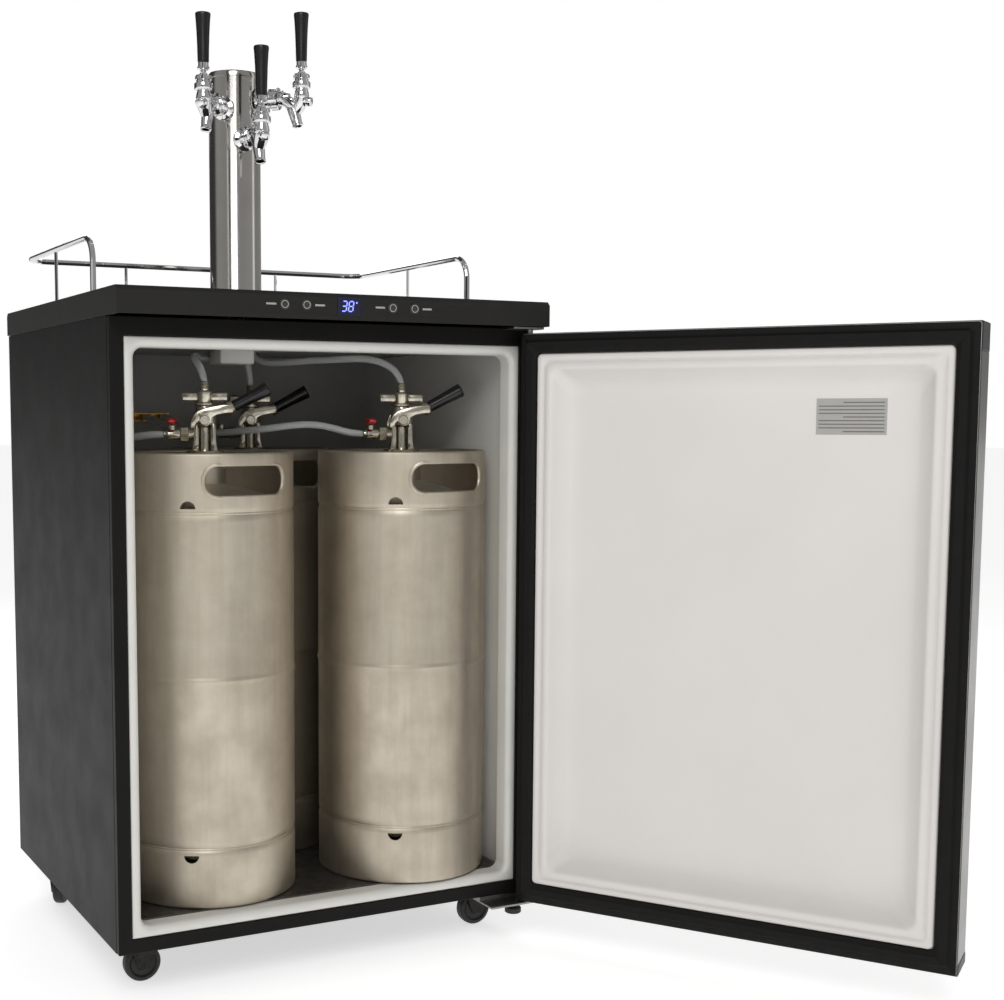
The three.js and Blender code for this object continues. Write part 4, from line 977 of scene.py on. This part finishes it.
# ---- kegs and couplers ------------------------------------------------------
@dataclass
class Keg:
    """One steel keg with rolled rims, weld seams, hand slots and drain holes."""

    name: str
    radius: float = 119.0 * MM
    height: float = 597.0 * MM
    wall: float = 2.4 * MM
    roll: float = 3.6 * MM
    slot_width: float = 124.0 * MM
    slot_low: float = 541.0 * MM
    slot_high: float = 581.0 * MM
    slot_corner: float = 19.0 * MM
    drain_radius: float = 10.0 * MM
    drain_low: float = 71.5 * MM
    drain_high: float = 525.5 * MM
    slot_turn: float = 9.0
    drain_turn: float = -31.0
    steps: int = 96

    def build(self) -> None:
        """Builds the keg, cuts its openings and rolls an edge round each hand slot."""
        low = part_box(f"keg_{self.name}")[0]
        home = Matrix.Translation(upright(f"keg_{self.name}", low[2]))
        shell = spun(self._profile(), self.steps)
        made = piece(f"keg_{self.name}_shell", placed(shell, home), KEG_STEEL, "cabinet",
                     (f"keg_{self.name}",), 40.0)
        cutters = [self._slot_cutter(self.slot_turn + turn) for turn in (0, 180)]
        cutters += [self._drain_cutter(self.drain_low, -1), self._drain_cutter(self.drain_high, 1)]
        self._cut(made, placed(joined(*cutters), home))
        rims = [self._slot_rim(self.slot_turn + turn) for turn in (0, 180)]
        piece(f"keg_{self.name}_slot_rims", placed(joined(*rims), home), KEG_STEEL, "cabinet")

    def _profile(self) -> Profile:
        """The half outline, from the bottom dome round to the neck."""
        r, h, w, t = self.radius, self.height, self.wall, self.roll
        foot = [(r - t - t * math.cos(a), t - t * math.sin(a)) for a in self._turns(7)]
        crown = [(r - t + t * math.cos(a), h - t + t * math.sin(a)) for a in self._turns(7)]
        return [
            (0, 0.041), (0.050, 0.045), (0.096, 0.058), (0.110, 0.068), (r - w, 0.073), (r - w, 0.010),
            *foot,
            (r, 0.0700), (r - 0.0004, 0.0755), (r - 0.0018, 0.0775), (r - 0.0012, 0.0790),
            (r - 0.0018, 0.0805), (r - 0.0004, 0.0830), (r, 0.0900),
            (r, 0.2960), (r + 0.0005, 0.2985), (r + 0.0013, 0.3005), (r + 0.0015, 0.3020),
            (r + 0.0013, 0.3035), (r + 0.0005, 0.3055), (r, 0.3080),
            (r, 0.5080), (r - 0.0004, 0.5150), (r - 0.0018, 0.5175), (r - 0.0012, 0.5190),
            (r - 0.0018, 0.5205), (r - 0.0004, 0.5230), (r, 0.5270),
            *crown,
            (r - w, h - 2.4 * t), (r - w, 0.5245), (0.111, 0.5235), (0.099, 0.531), (0.060, 0.545),
            (0.031, 0.551), (0.028, 0.554), (0.0275, 0.5745), (0.0265, 0.5755), (0.0205, 0.5755),
            (0.0205, 0.562), (0, 0.562),
        ]

    @staticmethod
    def _turns(count: int) -> list[float]:
        """Evenly spaced turns from 0 to half a circle."""
        return [math.pi * i / (count - 1) for i in range(count)]

    def _slot_outline(self, grow: float = 0.0) -> Profile:
        """The hand slot's outline as arc length and height, in order."""
        half, low, high = self.slot_width / 2 + grow, self.slot_low - grow, self.slot_high + grow
        corner = self.slot_corner + grow
        points: Profile = []
        for sx, sz, first in ((1, -1, -90), (1, 1, 0), (-1, 1, 90), (-1, -1, 180)):
            cz = (high if sz > 0 else low) - sz * corner
            for i in range(9):
                turn = math.radians(first + 90 * i / 8)
                points.append((sx * (half - corner) + corner * math.cos(turn), cz + corner * math.sin(turn)))
        return points

    def _on_wall(self, arc: float, height: float, radius: float, turn_deg: float) -> Vector:
        """The point on the wall at an arc length from a direction, at a radius."""
        turn = arc / self.radius + math.radians(turn_deg)
        return Vector((math.sin(turn) * radius, -math.cos(turn) * radius, height))

    def _slot_cutter(self, turn_deg: float) -> bmesh.types.BMesh:
        """A wedge-shaped block as wide as the hand slot."""
        cutter = bmesh.new()
        loops = []
        for radius in (self.radius - 0.016, self.radius + 0.012):
            verts = [cutter.verts.new(self._on_wall(a, z, radius, turn_deg)) for a, z in self._slot_outline()]
            loops.append([cutter.edges.new(pair) for pair in zip(verts, verts[1:] + verts[:1])])
        bmesh.ops.bridge_loops(cutter, edges=[*loops[0], *loops[1]])
        bmesh.ops.holes_fill(cutter, edges=cutter.edges, sides=0)
        bmesh.ops.triangulate(cutter, faces=[f for f in cutter.faces if len(f.verts) > 4])
        bmesh.ops.recalc_face_normals(cutter, faces=cutter.faces)
        return cutter

    def _slot_rim(self, turn_deg: float) -> bmesh.types.BMesh:
        """The edge of the hand slot, rolled round."""
        outline = self._slot_outline(0.0012)
        points = [self._on_wall(a, z, self.radius - 0.0012, turn_deg) for a, z in outline]
        return swept([*points, points[0], points[1]], 0.0029, 12)

    def _drain_cutter(self, height: float, side: int) -> bmesh.types.BMesh:
        """A half-round drain hole, flat along the seam, below it (-1) or above it (1)."""
        radius, deep = self.drain_radius, 0.034
        hole = bmesh.new()
        bmesh.ops.create_cone(hole, cap_ends=True, segments=32, radius1=radius, radius2=radius, depth=deep)
        bmesh.ops.rotate(hole, verts=hole.verts, matrix=Matrix.Rotation(math.pi / 2, 3, "X"))
        whole = [*hole.verts, *hole.edges, *hole.faces]
        bmesh.ops.bisect_plane(hole, geom=whole, plane_co=(0, 0, 0), plane_no=(0, 0, -side), clear_outer=True)
        bmesh.ops.holes_fill(hole, edges=hole.edges, sides=0)
        bmesh.ops.recalc_face_normals(hole, faces=hole.faces)
        turn = Matrix.Rotation(math.radians(self.drain_turn), 4, "Z")
        return placed(hole, turn @ Matrix.Translation((0, deep * 0.3 - self.radius, height)))

    @staticmethod
    def _cut(target: bpy.types.Object, tool: bmesh.types.BMesh) -> None:
        """Cuts a tool's shape out of a piece and keeps the result as its mesh."""
        data = bpy.data.meshes.new("tool")
        tool.to_mesh(data)
        tool.free()
        holder = bpy.data.objects.new("tool", data)
        bpy.context.scene.collection.objects.link(holder)
        cut = target.modifiers.new("cut", "BOOLEAN")
        cut.object = holder
        cut.operation = "DIFFERENCE"
        cut.solver = "EXACT"
        bpy.context.view_layer.update()
        graph = bpy.context.evaluated_depsgraph_get()
        result = bpy.data.meshes.new_from_object(target.evaluated_get(graph))
        target.modifiers.remove(cut)
        target.data = result
        bpy.data.objects.remove(holder)
        bpy.data.meshes.remove(data)
        result.set_sharp_from_angle(angle=math.radians(40))


@dataclass
class Coupler:
    """One keg coupler: cast body, wing nut, gas inlet, yoke, grip and, where fitted, a gas valve."""

    frame: Frame
    name: str
    turn_deg: float = -20.0
    pivot_above_rim: float = 41.7 * MM
    inlet_drop: float = 19.0 * MM

    def build(self) -> None:
        """Builds the coupler's pieces around its keg's neck."""
        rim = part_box(f"keg_{self.name}")[1][2]
        home = Matrix.Translation(upright(f"keg_{self.name}", rim + self.pivot_above_rim))
        home = home @ Matrix.Rotation(math.radians(self.turn_deg), 4, "Z")
        cast = joined(self._body(), self._wing_nut(), self._inlet(), self._pins(), self._ribs())
        piece(f"coupler_{self.name}_casting", placed(cast, home), CAST_PLATE, "cabinet",
              (f"coupler_{self.name}",), 30.0)
        moving = f"coupler_grip_{self.name}"
        piece(f"coupler_{self.name}_yoke", placed(self._yoke(), home), CAST_PLATE, moving,
              (f"coupler_lever_{self.name}",))
        piece(f"coupler_{self.name}_grip", placed(self._grip(), home), GRIP_NYLON, moving)
        if f"gas_valve_lever_{self.name}" in self.frame.nodes:
            piece(f"gas_valve_{self.name}_tab", placed(self._valve_tab(), home), RED_VINYL,
                  f"gas_valve_{self.name}", (f"gas_valve_lever_{self.name}",))

    @staticmethod
    def _body() -> bmesh.types.BMesh:
        """The flange, the narrow probe housing, the head and the hose tail."""
        return spun([
            (0, -0.0632), (0.0245, -0.0632), (0.026, -0.0618), (0.026, -0.0560), (0.0235, -0.0550),
            (0.0235, -0.0500), (0.026, -0.0490), (0.026, -0.0430), (0.0245, -0.0412), (0.0150, -0.0405),
            (0.0072, -0.0395), (0.0066, -0.0360), (0.0066, -0.0100), (0.0120, -0.0070), (0.0150, -0.0040),
            (0.0156, 0.0040), (0.0148, 0.0105), (0.0130, 0.0130), (0.0118, 0.0185), (0.0132, 0.0200),
            (0.0132, 0.0225), (0.0100, 0.0240), (0.0104, 0.0250), (0.0104, 0.0370), (0.0090, 0.0386),
            (0.0066, 0.0390), (0.0060, 0.0400), (0.0064, 0.0420), (0.0054, 0.0440), (0.0064, 0.0450),
            (0.0054, 0.0475), (0.0062, 0.0485), (0.0052, 0.0510), (0, 0.0510),
        ], 48)

    @staticmethod
    def _wing_nut() -> bmesh.types.BMesh:
        """Two broad wings."""
        wings = []
        for side in (-1, 1):
            x0, x1 = sorted((side * 0.0085, side * 0.0310))
            wing = rounded_box(Vector((x0, -0.0032, 0.0252)), Vector((x1, 0.0032, 0.0368)), 0.0026)
            wings.append(wing)
        return joined(*wings)

    def _inlet(self) -> bmesh.types.BMesh:
        """The gas inlet with its hexagon nut, valve boss and barb."""
        out = along(Vector((0, 0, -self.inlet_drop)), Vector((-1, 0, 0)))
        pipe = spun([
            (0, 0.010), (0.0070, 0.010), (0.0070, 0.0335), (0.0078, 0.0350), (0.0078, 0.0490),
            (0.0064, 0.0500), (0.0056, 0.0520), (0.0056, 0.0540), (0, 0.0540),
        ], 32)
        nut = spun([(0, 0.0215), (0.0094, 0.0215), (0.0100, 0.0222), (0.0100, 0.0318), (0.0094, 0.0325),
                    (0, 0.0325)], 6)
        boss = spun([(0, -0.019), (0.0052, -0.019), (0.0052, -0.0072), (0.0044, -0.0062), (0, -0.0062)], 28)
        return joined(placed(joined(pipe, nut), out), placed(boss, Matrix.Translation((-0.044, 0, 0))))

    @staticmethod
    def _pins() -> bmesh.types.BMesh:
        """The pivot pin with a head at each end."""
        half = [(0, -0.0236), (0.0060, -0.0236), (0.0072, -0.0228), (0.0072, -0.0217), (0.0049, -0.0215),
                (0.0049, 0.0215), (0.0072, 0.0217), (0.0072, 0.0228), (0.0060, 0.0236), (0, 0.0236)]
        return placed(spun(half, 32), along(Vector((0, 0, 0)), Vector((0, 1, 0))))

    @staticmethod
    def _ribs() -> bmesh.types.BMesh:
        """The two flared legs of the casting between flange and head."""
        legs = []
        for side in (-1, 1):
            outline = [(side * x, z) for x, z in (
                (0.0085, -0.0425), (0.0185, -0.0425), (0.0165, -0.0380), (0.0150, -0.0280),
                (0.0146, -0.0060), (0.0100, -0.0020), (0.0084, -0.0120), (0.0082, -0.0300))]
            legs.append(plate(outline, -0.0085, 0.0085, 0.0012))
        return joined(*legs)

    @staticmethod
    def _valve_tab() -> bmesh.types.BMesh:
        """The red vinyl lever on the gas inlet's valve, with its round boss."""
        boss = spun([(0, -0.0054), (0.0062, -0.0054), (0.0066, -0.0046), (0.0064, 0.0012),
                     (0.0054, 0.0022), (0, 0.0024)], 28)
        blade = rounded_box(Vector((-0.0054, -0.0262, -0.0046)), Vector((0.0054, 0.0028, 0.0012)), 0.0024)
        return placed(joined(boss, blade), Matrix.Translation((-0.044, 0, 0)))

    @staticmethod
    def _yoke() -> bmesh.types.BMesh:
        """The arched cheeks and the bar that joins them."""
        outline = [
            (-0.0190, -0.0100), (-0.0185, -0.0020), (-0.0150, 0.0065), (-0.0085, 0.0125), (0.0010, 0.0160),
            (0.0120, 0.0185), (0.0250, 0.0205), (0.0380, 0.0205), (0.0380, 0.0105), (0.0270, 0.0095),
            (0.0170, 0.0075), (0.0095, 0.0035), (0.0080, -0.0040), (0.0030, -0.0080), (-0.0045, -0.0070),
            (-0.0085, -0.0010), (-0.0120, -0.0050), (-0.0140, -0.0110),
        ]
        cheeks = [plate(outline, *sides, 0.0009) for sides in ((-0.0211, -0.0173), (0.0173, 0.0211))]
        bar = rounded_box(Vector((0.0300, -0.0205, 0.0105)), Vector((0.0380, 0.0205, 0.0205)), 0.0022)
        socket = spun([(0, -0.004), (0.0082, -0.004), (0.0092, -0.003), (0.0092, 0.004), (0.0082, 0.0055),
                       (0, 0.0055)], 32)
        placed(socket, along(Vector((0.034, 0, 0.0160)), Vector((0.054, 0, 0.0285))))
        return joined(*cheeks, bar, socket)

    @staticmethod
    def _grip() -> bmesh.types.BMesh:
        """The black grip, swelling towards its end."""
        grip = spun([
            (0, 0.003), (0.0072, 0.003), (0.0078, 0.0045), (0.0079, 0.0140), (0.0084, 0.0300),
            (0.0094, 0.0460), (0.0100, 0.0560), (0.0100, 0.0582), (0.0095, 0.0592), (0.0084, 0.0596),
            (0.0078, 0.0588), (0, 0.0588),
        ], 40)
        return placed(grip, along(Vector((0.033, 0, 0.0155)), Vector((0.054, 0, 0.0285))))


@dataclass
class Hoses:
    """Clear beer and gas hoses with the brass manifold they end in."""

    frame: Frame

    def build(self) -> None:
        """Rounds the hoses and eases the manifold."""
        for keg in ("left", "right", "rear"):
            self.frame.smoothed_tube(f"beer_tube_{keg}", f"beer_hose_{keg}", CLEAR_PVC, "cabinet")
            self.frame.smoothed_tube(f"gas_tube_{keg}", f"gas_hose_{keg}", GAS_PVC, "cabinet")
        self.frame.eased("gas_manifold_block", "gas_manifold", TURNED_BRASS, "cabinet", 0.8)


# ---- door -------------------------------------------------------------------
@dataclass
class Door:
    """The open door: steel skin, top cap, dished liner, gasket, label and corner cap.

    Its own measures are those of the closed door; the hinge turns them to where it stands.
    """

    frame: Frame
    hinge: Vector
    open_deg: float
    left: float = -297.0 * MM
    right: float = 294.3 * MM
    inner: float = -10.0 * MM
    outer: float = -68.5 * MM
    low: float = 63.7 * MM
    high: float = 859.5 * MM
    pan_half: float = 268.5 * MM
    pan_low: float = 93.4 * MM
    pan_high: float = 831.0 * MM
    crest: float = -4.5 * MM
    dish: float = -30.0 * MM
    gasket_edge: float = 1.6 * MM
    cap_size: tuple[float, float] = (16.0 * MM, 14.5 * MM)
    label: tuple[float, float, float, float] = (-0.188, -0.102, 0.724, 0.769)

    def build(self) -> None:
        """Builds the door's pieces."""
        self.frame.dress(DOOR_STAINLESS, "door_skin")
        self.frame.eased("door_cap_moulding", "door_top_cap", CAP_ABS, "door", 1.6)
        self._liner()
        self._gasket()
        self._label()
        self._corner_cap()

    def _turned(self) -> Matrix:
        """The matrix from the closed door to the open one."""
        there = Matrix.Translation(Vector((self.hinge.x, self.hinge.y, 0)))
        return there @ Matrix.Rotation(math.radians(self.open_deg), 4, "Z") @ there.inverted()

    def _liner(self) -> None:
        """The dished liner, as one formed sheet."""
        sheet = bmesh.new()
        steps = [
            (self.left + 0.0014, self.right - 0.0014, self.low + 0.0014, self.high - 0.001,
             self.inner, 0.003),
        ]
        for inset, y, corner in (
            (-0.0012, self.inner, 0.0072), (0.0, self.inner + 0.0010, 0.006),
            (0.0006, self.crest - 0.0015, 0.006),
            (0.0022, self.crest, 0.0056), (0.0080, self.crest, 0.008), (0.0094, self.crest - 0.0018, 0.009),
            (0.0112, self.crest - 0.0018, 0.010), (0.0128, self.crest, 0.011), (0.0190, self.crest, 0.013),
            (0.0212, self.crest - 0.0008, 0.014), (0.0230, self.crest - 0.0034, 0.015),
            (0.0262, self.crest - 0.0090, 0.016), (0.0330, self.dish + 0.0090, 0.018),
            (0.0390, self.dish + 0.0034, 0.020), (0.0450, self.dish + 0.0008, 0.023),
            (0.0520, self.dish, 0.026), (0.0600, self.dish, 0.030),
        ):
            steps.append((-self.pan_half + inset, self.pan_half - inset, self.pan_low + inset,
                          self.pan_high - inset, y, corner))
        loops = [
            rounded_loop(sheet, Vector((x0, 0, z0)), Vector((x1, 0, z1)), y, corner)
            for x0, x1, z0, z1, y, corner in steps
        ]
        skinned(sheet, loops)
        bmesh.ops.contextual_create(sheet, geom=loops[-1])
        bmesh.ops.recalc_face_normals(sheet, faces=sheet.faces)
        sheet.normal_update()
        if sum(face.normal.y * face.calc_area() for face in sheet.faces) < 0:
            bmesh.ops.reverse_faces(sheet, faces=sheet.faces)
        made = piece("door_liner_sheet", placed(sheet, self._turned()), FORMED_STYRENE, "door",
                     ("door_liner",), 60.0)
        wall = made.modifiers.new("wall", "SOLIDIFY")
        wall.thickness = 1.6 * MM
        wall.offset = -1.0

    def _gasket(self) -> None:
        """The black seal round the liner: an outer lip, a groove and the raised bulb."""
        ring = bmesh.new()
        loops = []
        back, face, gap = self.inner + 0.0003, -0.0006, 0.0008
        sides = ((self.left, -self.pan_half, 1), (self.right, self.pan_half, -1),
                 (self.low, self.pan_low, 1), (self.high, self.pan_high, -1))
        for share, y in ((0.0, back), (0.0, back + 0.0030), (0.06, back + 0.0040), (0.30, back + 0.0040),
                         (0.36, face - 0.0030), (0.42, face), (0.78, face), (0.84, face - 0.0022),
                         (0.94, face - 0.0030), (1.0, face - 0.0044), (1.0, back)):
            edges = []
            for side, pan, toward in sides:
                outer, limit = side + toward * self.gasket_edge, pan - toward * gap
                edges.append(outer + (limit - outer) * share)
            x0, x1, z0, z1 = edges
            corner = 0.003 + 0.004 * share
            loops.append(rounded_loop(ring, Vector((x0, 0, z0)), Vector((x1, 0, z1)), y, corner))
        skinned(ring, loops, around=True)
        bmesh.ops.recalc_face_normals(ring, faces=ring.faces)
        piece("door_gasket_profile", placed(ring, self._turned()), GASKET_RUBBER, "door",
              ("door_gasket",), 50.0)

    def _label(self) -> None:
        """A plain foil label with unreadable printed rows."""
        x0, x1, z0, z1 = self.label
        foil = rounded_box(Vector((x0, self.dish, z0)), Vector((x1, self.dish + 0.0003, z1)), 0.0001, 1)
        piece("door_label", placed(foil, self._turned()), LABEL_FOIL, "door")
        rows = []
        count, first, last = 9, 5.0 * MM, 4.0 * MM
        margin, half_row, shorter = 3.0 * MM, 0.8 * MM, 30.0 * MM
        pitch = (z1 - z0 - first - last) / (count - 1)
        for i in range(count):
            z = z1 - first - i * pitch
            end = x1 - margin - (shorter if i in (0, 4, 8) else 0.0)
            low = Vector((x0 + margin, self.dish + 0.0002, z - half_row))
            high = Vector((end, self.dish + 0.0004, z + half_row))
            rows.append(rounded_box(low, high, 0.00008, 1))
        piece("door_label_rows", placed(joined(*rows), self._turned()), LABEL_INK, "door")

    def _corner_cap(self) -> None:
        """The black cap over the lower free corner of the steel skin."""
        proud = 0.0008
        low = Vector((self.left - proud, self.outer - proud, self.low - proud))
        width, height = self.cap_size
        high = Vector((self.left + width, self.inner - 0.0005, self.low + height))
        cap = rounded_box(low, high, 0.0022)
        piece("door_corner_cap", placed(cap, self._turned()), CAP_ABS, "door")


# ---- hinges and casters -----------------------------------------------------
@dataclass
class Underneath:
    """Hinge brackets, levelling foot and casters."""

    frame: Frame
    joints: list[dict]
    corners: tuple[str, ...] = ("front_left", "front_right", "rear_left", "rear_right")
    foot: tuple[float, float, float] = (0.271, -0.015, 0.046)
    foot_radius: float = 11.6 * MM

    def build(self) -> None:
        """Builds the brackets and each caster."""
        self.frame.eased("top_hinge_bracket", "hinge_top", ZINC_PLATE, "cabinet", 0.6)
        self.frame.eased("bottom_hinge_bracket", "hinge_bottom", ZINC_PLATE, "cabinet", 0.6)
        r = self.foot_radius
        pad = spun([(0, -0.0006), (r - 0.0012, -0.0006), (r, 0.0006), (r, 0.0062), (r - 0.0010, 0.0074),
                    (0.0070, 0.0082), (0.0060, 0.0120), (0.0052, 0.0126), (0, 0.0126)], 40)
        piece("levelling_foot_pad", placed(pad, Matrix.Translation(self.foot)), TREAD_RUBBER, "cabinet")
        for corner in self.corners:
            self.frame.eased(f"{corner}_fork", f"caster_fork_{corner}", CASTER_ZINC, f"fork_{corner}", 0.5)
            self._wheel(corner)
        for corner in self.corners[:2]:
            self.frame.eased(f"{corner}_pedal", f"brake_lever_{corner}", PEDAL_PLASTIC,
                             f"brake_{corner}", 0.8)

    def _wheel(self, corner: str) -> None:
        """A wheel with a rounded tread, dished faces and a raised hub."""
        node = f"caster_wheel_{corner}"
        low, high = (Vector(c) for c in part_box(node))
        middle = (low + high) / 2
        radius = (high.z - low.z) / 2
        half, hub, bore = 8.9 * MM, 9.4 * MM, 4.3 * MM
        one_side = [
            (bore, hub), (0.0075, hub), (0.0085, half), (0.0125, half - 0.0016),
            (radius - 0.0085, half - 0.0022), (radius - 0.006, half - 0.0002),
            (radius - 0.0022, half - 0.0012), (radius - 0.0004, half - 0.0034),
        ]
        mirrored = [(r, -z) for r, z in one_side]
        wheel = spun([*mirrored, (radius, 0), *one_side[::-1], mirrored[0]], 64)
        rolls = next(joint for joint in self.joints if joint["child"] == f"wheel_{corner}")
        axle = Vector(rolls["axis"])
        piece(f"{corner}_wheel", placed(wheel, along(middle, axle)), TREAD_RUBBER, f"wheel_{corner}", (node,))


# ---- setting ----------------------------------------------------------------
@dataclass
class Studio:
    """Camera, pale floor and soft light."""

    position: tuple[float, float, float] = (-0.8215, -1.7757, 0.7439)
    yaw_deg: float = 26.549
    pitch_deg: float = -5.597
    roll_deg: float = 0.064
    lens_mm: float = 53.476
    shift: tuple[float, float] = (0.1221, 0.0641)

    def build(self) -> None:
        """Sets up the view, the floor and the lights."""
        self._camera()
        self._floor()
        self._sky()
        self._lamp("key", (-1.5, -2.7, 2.9), 1.8, 50.0)
        self._lamp("rim", (0.6, 2.8, 2.6), 2.0, 24.0)
        bpy.context.scene.view_settings.view_transform = "Standard"
        LOG.info("studio ready")

    def _camera(self) -> None:
        """The camera, standing left of the open door."""
        yaw, pitch, roll = (math.radians(a) for a in (self.yaw_deg, self.pitch_deg, self.roll_deg))
        forward = Vector((math.sin(yaw) * math.cos(pitch), math.cos(yaw) * math.cos(pitch), math.sin(pitch)))
        right = Vector((math.cos(yaw), -math.sin(yaw), 0))
        above = right.cross(forward)
        side = right * math.cos(roll) + above * math.sin(roll)
        top = above * math.cos(roll) - right * math.sin(roll)
        data = bpy.data.cameras.new("camera")
        data.lens = self.lens_mm
        data.sensor_width = 36.0
        data.shift_x, data.shift_y = self.shift
        holder = bpy.data.objects.new("camera", data)
        turn = Matrix((side, top, -forward)).transposed().to_4x4()
        holder.matrix_world = Matrix.Translation(self.position) @ turn
        bpy.context.scene.collection.objects.link(holder)
        bpy.context.scene.camera = holder

    @staticmethod
    def _floor() -> None:
        """A wide pale floor."""
        ground = bmesh.new()
        bmesh.ops.create_circle(ground, cap_ends=True, segments=64, radius=40.0)
        data = bpy.data.meshes.new("floor")
        ground.to_mesh(data)
        ground.free()
        floor = bpy.data.objects.new("floor", data)
        paint = bpy.data.materials.new("studio_floor")
        paint.use_nodes = True
        shader = paint.node_tree.nodes["Principled BSDF"]
        shader.inputs["Base Color"].default_value = linear("f1f1f1")
        shader.inputs["Roughness"].default_value = 0.8
        shader.inputs["Emission Color"].default_value = linear("ffffff")
        shader.inputs["Emission Strength"].default_value = 0.6
        data.materials.append(paint)
        bpy.context.scene.collection.objects.link(floor)

    @staticmethod
    def _sky() -> None:
        """An even white room with a few dark flags, which give plated metal its bands."""
        world = bpy.data.worlds.new("studio")
        bpy.context.scene.world = world
        world.use_nodes = True
        tree = world.node_tree
        tree.nodes.clear()
        place = add_node(tree, "ShaderNodeTexCoord").outputs["Generated"]
        around = add_node(tree, "ShaderNodeTexGradient", {"gradient_type": "RADIAL"}, links={"Vector": place})
        bands = add_node(tree, "ShaderNodeValToRGB", links={"Fac": around.outputs["Fac"]})
        stops = [(0.0, 0.34), (0.09, 0.3), (0.096, 0.85), (0.106, 0.85), (0.113, 0.03), (0.18, 0.03),
                 (0.186, 0.6), (0.198, 0.6), (0.21, 0.3), (0.425, 0.36), (0.435, 1.0), (0.455, 1.0),
                 (0.465, 0.28), (0.70, 0.3), (0.745, 0.05), (0.90, 0.05), (0.94, 0.34)]
        ramp = bands.color_ramp
        ramp.elements.remove(ramp.elements[-1])
        ramp.elements[0].position = 0.0
        ramp.elements[0].color = (stops[0][1],) * 3 + (1.0,)
        for position, level in stops[1:]:
            ramp.elements.new(position).color = (level, level, level, 1.0)
        seen = add_node(tree, "ShaderNodeLightPath")
        shine = add_node(tree, "ShaderNodeBackground", links={"Color": bands.outputs["Color"]})
        white = linear("ffffff")
        soft = add_node(tree, "ShaderNodeBackground", values={"Color": white, "Strength": 0.37})
        bright = add_node(tree, "ShaderNodeBackground", values={"Color": white})
        glossy = add_node(tree, "ShaderNodeMixShader", links={0: seen.outputs["Is Glossy Ray"]})
        tree.links.new(soft.outputs["Background"], glossy.inputs[1])
        tree.links.new(shine.outputs["Background"], glossy.inputs[2])
        direct = add_node(tree, "ShaderNodeMixShader", links={0: seen.outputs["Is Camera Ray"]})
        tree.links.new(glossy.outputs["Shader"], direct.inputs[1])
        tree.links.new(bright.outputs["Background"], direct.inputs[2])
        output = add_node(tree, "ShaderNodeOutputWorld")
        tree.links.new(direct.outputs["Shader"], output.inputs["Surface"])

    @staticmethod
    def _lamp(name: str, position: tuple[float, float, float], size: float, power: float) -> None:
        """A square soft lamp aimed at the middle of the object."""
        data = bpy.data.lights.new(name, "AREA")
        data.shape = "SQUARE"
        data.size = size
        data.energy = power
        lamp = bpy.data.objects.new(name, data)
        lamp.location = position
        aim = Vector((0.1, 0.0, 0.6)) - Vector(position)
        lamp.rotation_euler = aim.to_track_quat("-Z", "Y").to_euler()
        bpy.context.scene.collection.objects.link(lamp)


def main() -> None:
    """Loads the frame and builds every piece."""
    logging.basicConfig(level=logging.INFO, format="%(message)s")
    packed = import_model()
    frame = Frame(packed["nodes"])
    Studio().build()
    Cabinet(frame).build()
    Worktop(frame).build()
    GuardRail().build()
    Tower().build()
    for name in ("left", "middle", "right"):
        Tap(name).build()
    for name in ("left", "right", "rear"):
        Keg(name).build()
        Coupler(frame, name).build()
    Hoses(frame).build()
    swing = next(joint for joint in packed["joints"] if joint["child"] == "door")
    Door(frame, Vector(swing["pos_m"]), -swing["range_deg"][0]).build()
    Underneath(frame, packed["joints"]).build()


if __name__ == "__main__":
    main()
